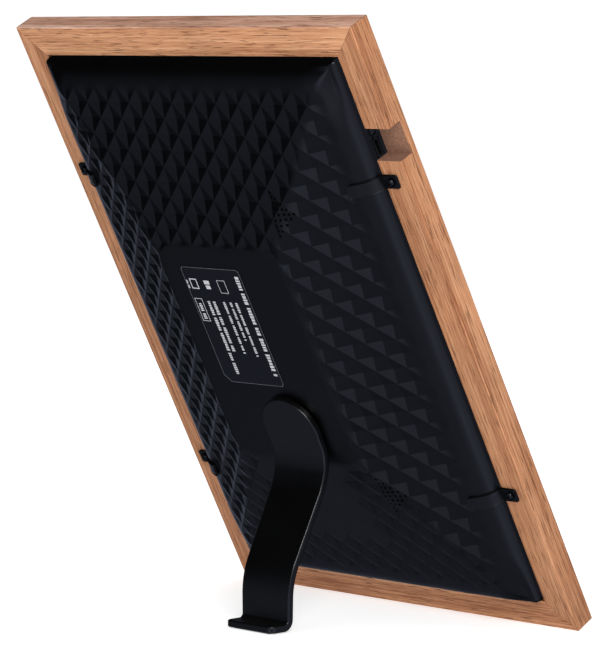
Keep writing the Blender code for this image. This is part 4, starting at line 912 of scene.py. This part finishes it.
def make_shell():
    mesh = shell_mesh("dimpled_shell")
    add_piece("dimpled_shell", mesh, MATERIALS["shell"], "frame_body", ["rear_shell"],
              sharp=SHELL_SHARP_ANGLE, weighted=False)


# -------- rating label

LABEL_LOW = (-24.1 * MM, 118.5 * MM)
LABEL_HIGH = (9.5 * MM, 171.8 * MM)
LABEL_BASE = PLATEAU_HEIGHT + 0.03 * MM
LABEL_FILM = 0.13 * MM
INK_THICKNESS = 0.02 * MM
LABEL_CORNER_RADIUS = 1.9 * MM
LABEL_CHAMFER = 3.2 * MM
LABEL_CHAMFER_ROUND = 0.6
LABEL_CORNER_STEPS = 5
LABEL_BORDER = (0.35 * MM, 0.55 * MM)
PRINT_SEED = 7
WORD_LETTERS = (3, 8)
# Shares of a row's letter size
LETTER_WIDTH = (0.30, 0.52)
LETTER_HALF_HEIGHT = (0.36, 0.5)
LETTER_GAP = 0.14
WORD_GAP = 0.45
# Rows as (x, distance from the top, length, letter size) and frames as (x, distance from the top,
# half width, half height, half line), in millimetres
PRINT_LINES = (
    (-6.7, 2.3, 46.0, 2.4),
    (-0.7, 14.8, 25.0, 1.4),
    (2.5, 14.8, 18.0, 1.4),
    (6.2, 14.8, 24.0, 1.4),
    (12.0, 14.8, 23.0, 1.8),
    (15.1, 14.8, 34.0, 1.8),
    (20.6, 16.0, 8.0, 1.8),
    (11.8, 4.6, 5.0, 3.4),
    (23.0, 6.0, 4.2, 0.9),
)
PRINT_FRAMES = (
    (20.6, 14.6, 2.1, 5.2, 0.12),
    (3.4, 5.6, 2.2, 2.9, 0.10),
    (19.3, 5.6, 2.0, 2.3, 0.22),
)


def label_outline(inset):
    """Label outline with one clipped corner, at panel (x, z)."""
    low_x, low_z = (value + inset for value in LABEL_LOW)
    high_x, high_z = (value - inset for value in LABEL_HIGH)
    cut = LABEL_CHAMFER - inset * (2.0 - math.sqrt(2.0))
    radius = LABEL_CORNER_RADIUS - inset * 0.5
    corners = [
        (high_x, low_z, radius),
        (high_x, high_z, radius),
        (low_x, high_z, radius),
        (low_x, low_z + cut, radius * LABEL_CHAMFER_ROUND),
        (low_x + cut, low_z, radius * LABEL_CHAMFER_ROUND),
    ]
    return [Vector((-x, z)) for x, z in fillet_outline(corners, LABEL_CORNER_STEPS)]


def make_label():
    top = LABEL_BASE + LABEL_FILM
    ink = top + INK_THICKNESS
    film = loft_mesh("label_film", [at_depth(label_outline(0.0), depth) for depth in (LABEL_BASE, top)])
    add_piece("label_film", film, MATERIALS["label"], "frame_body", ["rating_label"])
    outer, inner = (label_outline(inset) for inset in LABEL_BORDER)
    loops = [at_depth(*pair) for pair in ((outer, top), (outer, ink), (inner, ink), (inner, top))]
    border = loft_mesh("label_border", loops, closed=True)
    add_piece("label_border", border, MATERIALS["outline"], "frame_body")
    make_print(top, ink)


def make_print(base, top):
    """Rows of plain blocks where the label has its print, and plain frames where it has its signs."""
    generator = random.Random(PRINT_SEED)
    vertices, faces = [], []

    def block(x, z, half_x, half_z):
        corners = ((-1.0, -1.0), (1.0, -1.0), (1.0, 1.0), (-1.0, 1.0))
        outline = [(x + a * half_x, z + b * half_z) for a, b in corners]
        first = len(vertices)
        vertices.extend(at_depth(outline, base) + at_depth(outline, top))
        faces.append(tuple(range(first, first + 4)))
        faces.append(tuple(range(first + 4, first + 8)))
        faces.extend(ring_faces(2, 4, first))

    for x, start, length, size in PRINT_LINES:
        along = start
        letters = 0
        while along < start + length:
            if letters == 0:
                letters = generator.randint(*WORD_LETTERS)
                along += WORD_GAP * size
            width = generator.uniform(*LETTER_WIDTH) * size
            half_height = generator.uniform(*LETTER_HALF_HEIGHT) * size
            block(x * MM, LABEL_HIGH[1] - (along + width / 2.0) * MM, half_height * MM, width / 2.0 * MM)
            along += width + LETTER_GAP * size
            letters -= 1
    for x, start, half_x, half_z, line in PRINT_FRAMES:
        middle = (x * MM, LABEL_HIGH[1] - (start + half_z) * MM)
        for side in (-1.0, 1.0):
            block(middle[0] + side * (half_x - line) * MM, middle[1], line * MM, half_z * MM)
            block(middle[0], middle[1] + side * (half_z - line) * MM, (half_x - 2.0 * line) * MM, line * MM)
    mesh = mesh_from("label_print", vertices, faces)
    add_piece("label_print", mesh, MATERIALS["ink"], "frame_body")


# -------- bent plates: the stand and the clips

EDGE_STEPS = 4
STATION_GAP = 0.01 * MM
HEAD_STEPS = 72
CAP_REACH_RADII = 2.5
CAP_RADIUS_LOSS = 0.5
LEG_EDGE = 0.6 * MM
LEG_BEND_STEPS = 12
CLIP_BEND_STEPS = 5
FOOT_CORNER = 2.5 * MM
PAD_POCKET_X = 10.3 * MM
PAD_POCKET_BACKS = (84.3 * MM, 90.9 * MM)
PAD_POCKET_HEIGHTS = (-1.0 * MM, 1.2 * MM)
CLIP_EDGE = 0.16 * MM
CLIP_TAB_CORNER = 0.7 * MM
CLIP_TIP_CORNER = 1.0 * MM
CLIP_FOLD = 0.3 * MM
CLIP_CROWDING = 1.6
# The screw's (radius, depth) pairs in millimetres
SCREW_PROFILE = (
    (1.0, -1.0), (1.0, 0.0), (1.76, 0.0), (1.8, 0.2), (1.72, 0.5), (1.46, 0.82), (1.0, 1.0), (0.35, 1.08),
)
SCREW_SEGMENTS = 40
SCREW_SEAT = 1.3 * MM
SCREW_TURNS = (25.0, 40.0)
RECESS_ARM = (0.95 * MM, 0.24 * MM)
RECESS_TAPER = (0.55, 0.6)
RECESS_CORNER = 0.05 * MM
RECESS_DEPTHS = (0.35 * MM, 1.6 * MM)


def offset_path(path, distance):
    """A path moved sideways by a distance, with its corners mitred."""
    moved = []
    for index, here in enumerate(path):
        before = (here - path[index - 1]).normalized() if index > 0 else None
        after = (path[index + 1] - here).normalized() if index < len(path) - 1 else None
        before = before or after
        after = after or before
        normal = Vector((-before.y - after.y, before.x + after.x)).normalized()
        moved.append(here + normal * distance / normal.dot(Vector((-after.y, after.x))))
    return moved


def edge_rings(edge, thickness):
    """Each ring's inset and level, round one edge of a plate and then round the other."""
    rings = []
    for step in range(EDGE_STEPS + 1):
        angle = math.pi / 2.0 * step / EDGE_STEPS
        rings.append((edge * (1.0 - math.sin(angle)), edge * (1.0 - math.cos(angle)) / thickness))
    return rings + [(inset, 1.0 - level) for inset, level in reversed(rings)]


def bent_plate(name, path, thickness, half_widths, start_cap, end_cap, edge, place):
    """Bend a flat tapered blank with shaped edges along a path. Each cap gives an end's outline for
    an inset and the tip's length: from left to right at the start, and back again at the end."""
    outward = offset_path(path, thickness)
    lengths = [0.0]
    for here, there in zip(path, path[1:]):
        lengths.append(lengths[-1] + (there - here).length)
    total = lengths[-1]

    def bend(across, along, level):
        span = max(index for index in range(len(path) - 1) if index == 0 or lengths[index] <= along)
        share = (along - lengths[span]) / (lengths[span + 1] - lengths[span])
        inner = path[span].lerp(path[span + 1], share)
        outer = outward[span].lerp(outward[span + 1], share)
        return place(across, inner.lerp(outer, level))

    start_end = max(along for _, along in start_cap(0.0, 0.0))
    end_start = min(along for _, along in end_cap(0.0, total))
    stations = [s for s in lengths[1:-1] if start_end + STATION_GAP < s < end_start - STATION_GAP]

    def outline(inset):
        right = []
        for station in stations:
            share = (station - start_end) / (end_start - start_end)
            half = half_widths[0] + (half_widths[1] - half_widths[0]) * share
            right.append(Vector((half - inset, station)))
        left = [Vector((-point.x, point.y)) for point in reversed(right)]
        return start_cap(inset, 0.0) + right + end_cap(inset, total) + left

    rings = edge_rings(edge, thickness)
    size = len(outline(0.0))
    vertices = [bend(*point, level) for inset, level in rings for point in outline(inset)]
    faces = ring_faces(len(rings), size)
    head_count = len(start_cap(0.0, 0.0))
    foot_count = len(end_cap(0.0, total))
    count = len(stations)
    for base in (0, (len(rings) - 1) * size):
        left = [base + size - 1 - index for index in range(count)]
        right = [base + head_count + index for index in range(count)]
        foot = [base + head_count + count + index for index in range(foot_count)]
        faces.append(tuple([base + index for index in range(head_count)] + [right[0], left[0]]))
        for index in range(count - 1):
            faces.append((left[index], right[index], right[index + 1], left[index + 1]))
        faces.append(tuple([left[-1], right[-1]] + foot))
    return mesh_from(name, vertices, faces, FINE_WELD)


def square_cap(half_width, corner, direction):
    """A squared-off end with rounded corners: the far end for direction 1, the near end for -1."""
    def cap(inset, tip):
        half = direction * (half_width - inset)
        edge = tip - direction * inset
        root = tip - direction * (CAP_REACH_RADII * corner)
        radius = corner - inset * CAP_RADIUS_LOSS
        corners = [(half, root, 0.0), (half, edge, radius), (-half, edge, radius), (-half, root, 0.0)]
        return fillet_outline(corners, FILLET_STEPS, closed=False)
    return cap


def floor_to_panel(back, height):
    """Panel (depth, z) of a place on or above the floor."""
    lifted = height + CONTACT_DROP
    return (back * math.cos(LEAN) - lifted * math.sin(LEAN), back * math.sin(LEAN) + lifted * math.cos(LEAN))


def leg_path():
    """The leg's inner side: down along the shell, out through its bends and along the floor."""
    head_y = PLATEAU_HEIGHT + HEAD_CLEARANCE
    drop_z = (LEG_DROP_BACK - head_y * math.cos(LEAN)) / math.sin(LEAN)
    corners = [(head_y, HUB_Z + HEAD_RADIUS, 0.0), (head_y, drop_z, LEG_BENDS[0])]
    for (back, height), radius in zip(LEG_KNEES, LEG_BENDS[1:]):
        corners.append((*floor_to_panel(back, height), radius))
    corners.append((*floor_to_panel(FOOT_BACK, PAD_DROP), 0.0))
    return fillet_outline(corners, LEG_BEND_STEPS, closed=False)


def leg_head(inset, tip):
    """The leg's round head, from its left side over the top to its right."""
    radius = HEAD_RADIUS - inset
    spread = math.pi / 2.0 + math.acos((LEG_HALF_WIDTH - inset) / radius)
    angles = [-spread + 2.0 * spread * step / HEAD_STEPS for step in range(HEAD_STEPS + 1)]
    return [Vector((radius * math.sin(a), tip + HEAD_RADIUS - radius * math.cos(a))) for a in angles]


def make_leg():
    def place(across, point):
        return Vector((across, point[0], point[1] - HUB_Z))

    mesh = bent_plate("stand_arm", leg_path(), LEG_THICKNESS, (LEG_HALF_WIDTH, FOOT_HALF_WIDTH), leg_head,
                      square_cap(FOOT_HALF_WIDTH, FOOT_CORNER, 1.0), LEG_EDGE, place)
    boss_start = PLATEAU_HEIGHT + HEAD_CLEARANCE + LEG_THICKNESS / 2.0
    boss = turned_mesh("boss", [(BOSS_RADIUS, BOSS_END), (BOSS_RADIUS, boss_start)], ROUND_SEGMENTS)
    mesh.materials.append(MATERIALS["leg"])
    mesh = boolean(mesh, boss, MATERIALS["leg"], "UNION")
    mesh = boolean(mesh, pad_pocket(), MATERIALS["leg"])
    add_piece("stand_arm", mesh, MATERIALS["leg"], "stand", ["stand_leg"], matrix=HUB)


def pad_pocket():
    """The recess under the foot that holds the rubber pad."""
    near, far = PAD_POCKET_BACKS
    right = PAD_POCKET_X
    loops = []
    for height in PAD_POCKET_HEIGHTS:
        loop = []
        for x, back in ((-right, near), (right, near), (right, far), (-right, far)):
            y, z = floor_to_panel(back, height)
            loop.append(Vector((x, y, z - HUB_Z)))
        loops.append(loop)
    return loft_mesh("pad_pocket", loops)


def clip_path():
    """Along the wood, up the shell's edge, round its rim and inwards over the slope."""
    insets = CLIP_REACH * (np.arange(CLIP_STEPS) / (CLIP_STEPS - 1)) ** CLIP_CROWDING
    x = SHELL_HALF_X - insets
    y = slope_height(x, SHELL_HALF_X, PLATEAU_HALF_X, SLOPE_X) - rim_drop(insets)
    strap = offset_path([Vector(point) for point in zip(x.tolist(), y.tolist())], -CLIP_LIFT)
    tab_end = (CLIP_SCREW_X + CLIP_TAB_REACH, CLIP_SEAT, 0.0)
    fold = (strap[0].x, CLIP_SEAT, CLIP_FOLD)
    return fillet_outline([tab_end, fold, (*strap[1], 0.0)], CLIP_BEND_STEPS, closed=False) + strap[2:]


def screw_mesh(name):
    """Low pan head with a cross recess, on a short shank."""
    mesh = turned_mesh(name, [(radius * MM, depth * MM) for radius, depth in SCREW_PROFILE], SCREW_SEGMENTS)
    mesh.materials.append(MATERIALS["black_screw"])
    for half_a, half_b in (RECESS_ARM, reversed(RECESS_ARM)):
        floor = rectangle(half_a * RECESS_TAPER[0], half_b * RECESS_TAPER[1], RECESS_CORNER, 2)
        mouth = rectangle(half_a, half_b, RECESS_CORNER, 2)
        recess = loft_mesh("recess", [at_depth(*pair) for pair in zip((floor, mouth), RECESS_DEPTHS)])
        mesh = boolean(mesh, recess, MATERIALS["black_screw"])
    return mesh


def make_clips():
    """Four straps from the wood over the shell's rim, each with its screw."""
    screw = screw_mesh("cross_head")
    path = clip_path()
    half = CLIP_WIDTH / 2.0
    caps = (square_cap(half, CLIP_TAB_CORNER, -1.0), square_cap(half, CLIP_TIP_CORNER, 1.0))
    places = [(side, height) for side in (-1.0, 1.0) for height in CLIP_HEIGHTS]
    for number, (side, height) in enumerate(places, 1):
        def place(across, point, side=side, height=height):
            return Vector((side * point[0], point[1], height + across))

        name = f"clip_strap_{number}"
        mesh = bent_plate(name, path, -CLIP_THICKNESS, (half, half), *caps, CLIP_EDGE, place)
        add_piece(name, mesh, MATERIALS["clip"], "frame_body", [f"clip_{number}"])
        seat = PANEL @ Matrix.Translation((side * CLIP_SCREW_X, SCREW_SEAT, height))
        turn = math.radians(SCREW_TURNS[0] + SCREW_TURNS[1] * number)
        add_piece(f"clip_head_{number}", screw.copy(), MATERIALS["black_screw"], "frame_body",
                  [f"clip_screw_{number}"], matrix=seat @ Matrix.Rotation(turn, 4, "Y"))


# -------- front

MAT_DEPTHS = (-5.7 * MM, -5.2 * MM)
MAT_OUTER = (78.7 * MM, 116.7 * MM, 1.0 * MM)
MAT_WINDOW = (67.8 * MM, 108.5 * MM, 0.3 * MM)
MAT_BEVEL = (68.3 * MM, 109.0 * MM, 0.3 * MM)
MAT_SHARP_ANGLE = 20.0


def make_mat():
    """Pale card mat whose window is cut with a bevel."""
    front, back = MAT_DEPTHS
    sizes = (MAT_OUTER, MAT_WINDOW, MAT_BEVEL)
    outer, window, bevel = (rectangle(*size, centre=(0.0, MIDDLE)) for size in sizes)
    loops = [at_depth(*pair) for pair in ((outer, front), (outer, back), (window, back), (bevel, front))]
    add_piece("mat_card", loft_mesh("mat_card", loops, closed=True), MATERIALS["card"], "frame_body",
              ["mat_border"], sharp=MAT_SHARP_ANGLE)


NODE_MATERIALS = {
    "front_glass": "glass", "display_panel": "screen", "middle_housing": "housing", "power_button": "button",
    "power_socket": "housing", "button_switch": "tin", "wifi_shield": "tin", "main_board": "board",
    "processor": "chip", "display_flex": "film", "port_flex": "film", "wifi_antenna": "film",
    "speaker_upper": "speaker", "speaker_lower": "speaker", "foot_pad": "rubber",
}


def dress_nodes():
    """Give every CAD node that stays its own material."""
    for name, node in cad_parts.items():
        kind = NODE_MATERIALS.get(name, "brass" if "standoff" in name else "steel")
        node.data.materials.clear()
        node.data.materials.append(MATERIALS[kind])


# -------- studio

WHITE = (1.0, 1.0, 1.0, 1.0)
BACKDROP = 1.05
AMBIENT = 0.50
FLOOR_GLOW = 0.62
FLOOR_REACH = 12.0
FLOOR_GREYS = ((0.86, 0.86, 0.86), (0.88, 0.88, 0.88))
CAMERA_PLACE = (-0.9745, 0.9384, 0.2293)
# Right, up and backwards, in the panel's axes
CAMERA_AXES = (
    (-0.69436567, -0.63473303, -0.33907271),
    (0.05968307, -0.52035318, 0.85186296),
    (-0.71714312, 0.57126749, 0.3991982),
)
CAMERA_SENSOR = 36.0
CAMERA_LENS = 191.88941538
CAMERA_CLIP = (0.05, 20.0)
SOFTBOX_TARGET = (0.0, 0.0, 0.12)
# Each softbox: its name, place, side and power
SOFTBOXES = (
    ("key", (-0.60, 0.46, 0.50), 0.3, 3.6),
    ("front", (0.5, -1.2, 0.8), 1.0, 4.0),
)
GLOSS_TINT = (0.83, 0.92, 1.24, 1.0)
GLOSS_BASE = 0.003
# Each reflected light: its direction, the cosines where it starts and is full, and its strength
GLOSS_LOBES = (
    ((-0.25, 0.90, -0.35), 0.90, 0.985, 0.90),
    ((0.30, 0.95, -0.10), 0.85, 0.97, 0.05),
    ((0.52, 0.84, -0.20), 0.90, 0.985, 0.13),
    ((0.50, 0.60, -0.62), 0.90, 0.985, 0.09),
    ((0.69, 0.28, -0.59), 0.90, 0.985, 0.055),
    ((0.84, -0.50, -0.20), 0.90, 0.985, 0.34),
    ((0.62, -0.15, -0.78), 0.90, 0.985, 0.085),
    ((0.40, 0.30, -0.86), 0.90, 0.985, 0.09),
    ((-0.15, 0.45, -0.88), 0.90, 0.985, 0.23),
    ((0.37, 0.72, -0.59), 0.90, 0.985, 0.07),
    ((-0.70, 0.32, -0.62), 0.90, 0.985, 0.36),
    ((-0.90, -0.10, -0.42), 0.80, 0.95, 0.50),
    ((-0.50, -0.50, 0.70), 0.30, 0.90, 0.25),
)


def add_softbox(name, place, side, power):
    """A square area light that faces the object."""
    light = bpy.data.lights.new(name, "AREA")
    light.shape = "RECTANGLE"
    light.size = light.size_y = side
    light.energy = power
    obj = new_object(name, light)
    obj.location = place
    obj.rotation_mode = "QUATERNION"
    obj.rotation_quaternion = (Vector(SOFTBOX_TARGET) - Vector(place)).to_track_quat("-Z", "Y")


def make_camera():
    """The photographer's camera, behind and to one side of the frame."""
    camera = new_object("camera", bpy.data.cameras.new("camera"))
    camera.data.sensor_width = CAMERA_SENSOR
    camera.data.lens = CAMERA_LENS
    camera.data.clip_start, camera.data.clip_end = CAMERA_CLIP
    axes = Matrix([PANEL.to_3x3() @ Vector(axis) for axis in CAMERA_AXES]).transposed()
    camera.matrix_world = Matrix.Translation(CAMERA_PLACE) @ axes.to_4x4()
    bpy.context.scene.camera = camera


def make_floor():
    """A wide pale floor with a glow of its own, so that it runs into the backdrop."""
    n = MaterialNodes("studio_floor")
    cloud = n.noise(n.coordinates(), 3.0, 2.0)
    material = n.finish(base_color=n.shade(cloud, *FLOOR_GREYS), roughness=1.0,
                        emission_color=WHITE, emission_strength=FLOOR_GLOW)
    mesh = bpy.data.meshes.new("floor")
    corners = [(a * FLOOR_REACH, b * FLOOR_REACH, 0.0) for a, b in ((-1, -1), (1, -1), (1, 1), (-1, 1))]
    mesh.from_pydata(corners, [], [(0, 1, 2, 3)])
    mesh.materials.append(material)
    floor = new_object("floor", mesh)
    floor.visible_glossy = False


def make_world():
    """A white backdrop for the camera, even light for matt surfaces, and for glossy ones a dark room
    with a soft light in the direction of each lobe."""
    world = bpy.data.worlds.new("studio")
    bpy.context.scene.world = world
    world.use_nodes = True
    n = Nodes(world.node_tree)
    direction = n.add("ShaderNodeTexCoord").outputs["Generated"]
    gloss = GLOSS_BASE
    for axis, start, full, strength in GLOSS_LOBES:
        facing = n.add("ShaderNodeVectorMath", {0: direction, 1: Vector(axis).normalized()},
                       operation="DOT_PRODUCT").outputs["Value"]
        lobe = n.add("ShaderNodeMapRange", {
            "Value": facing, "From Min": start, "From Max": full, "To Max": strength},
            interpolation_type="SMOOTHSTEP").outputs["Result"]
        gloss = n.math("ADD", lobe, gloss)
    rays = n.add("ShaderNodeLightPath").outputs
    shader = n.add("ShaderNodeBackground", {"Color": WHITE, "Strength": AMBIENT}).outputs[0]
    for ray, colour, strength in (("Is Glossy Ray", GLOSS_TINT, gloss), ("Is Camera Ray", WHITE, BACKDROP)):
        light = n.add("ShaderNodeBackground", {"Color": colour, "Strength": strength}).outputs[0]
        shader = n.add("ShaderNodeMixShader", {0: rays[ray], 1: shader, 2: light}).outputs[0]
    n.tree.links.new(shader, n.tree.nodes["World Output"].inputs["Surface"])


def make_studio():
    make_camera()
    make_floor()
    make_world()
    for softbox in SOFTBOXES:
        add_softbox(*softbox)
    scene = bpy.context.scene
    scene.view_settings.view_transform = "Standard"
    scene.view_settings.look = "None"


make_rails()
make_shell()
make_label()
make_leg()
make_clips()
make_mat()
dress_nodes()
make_studio()
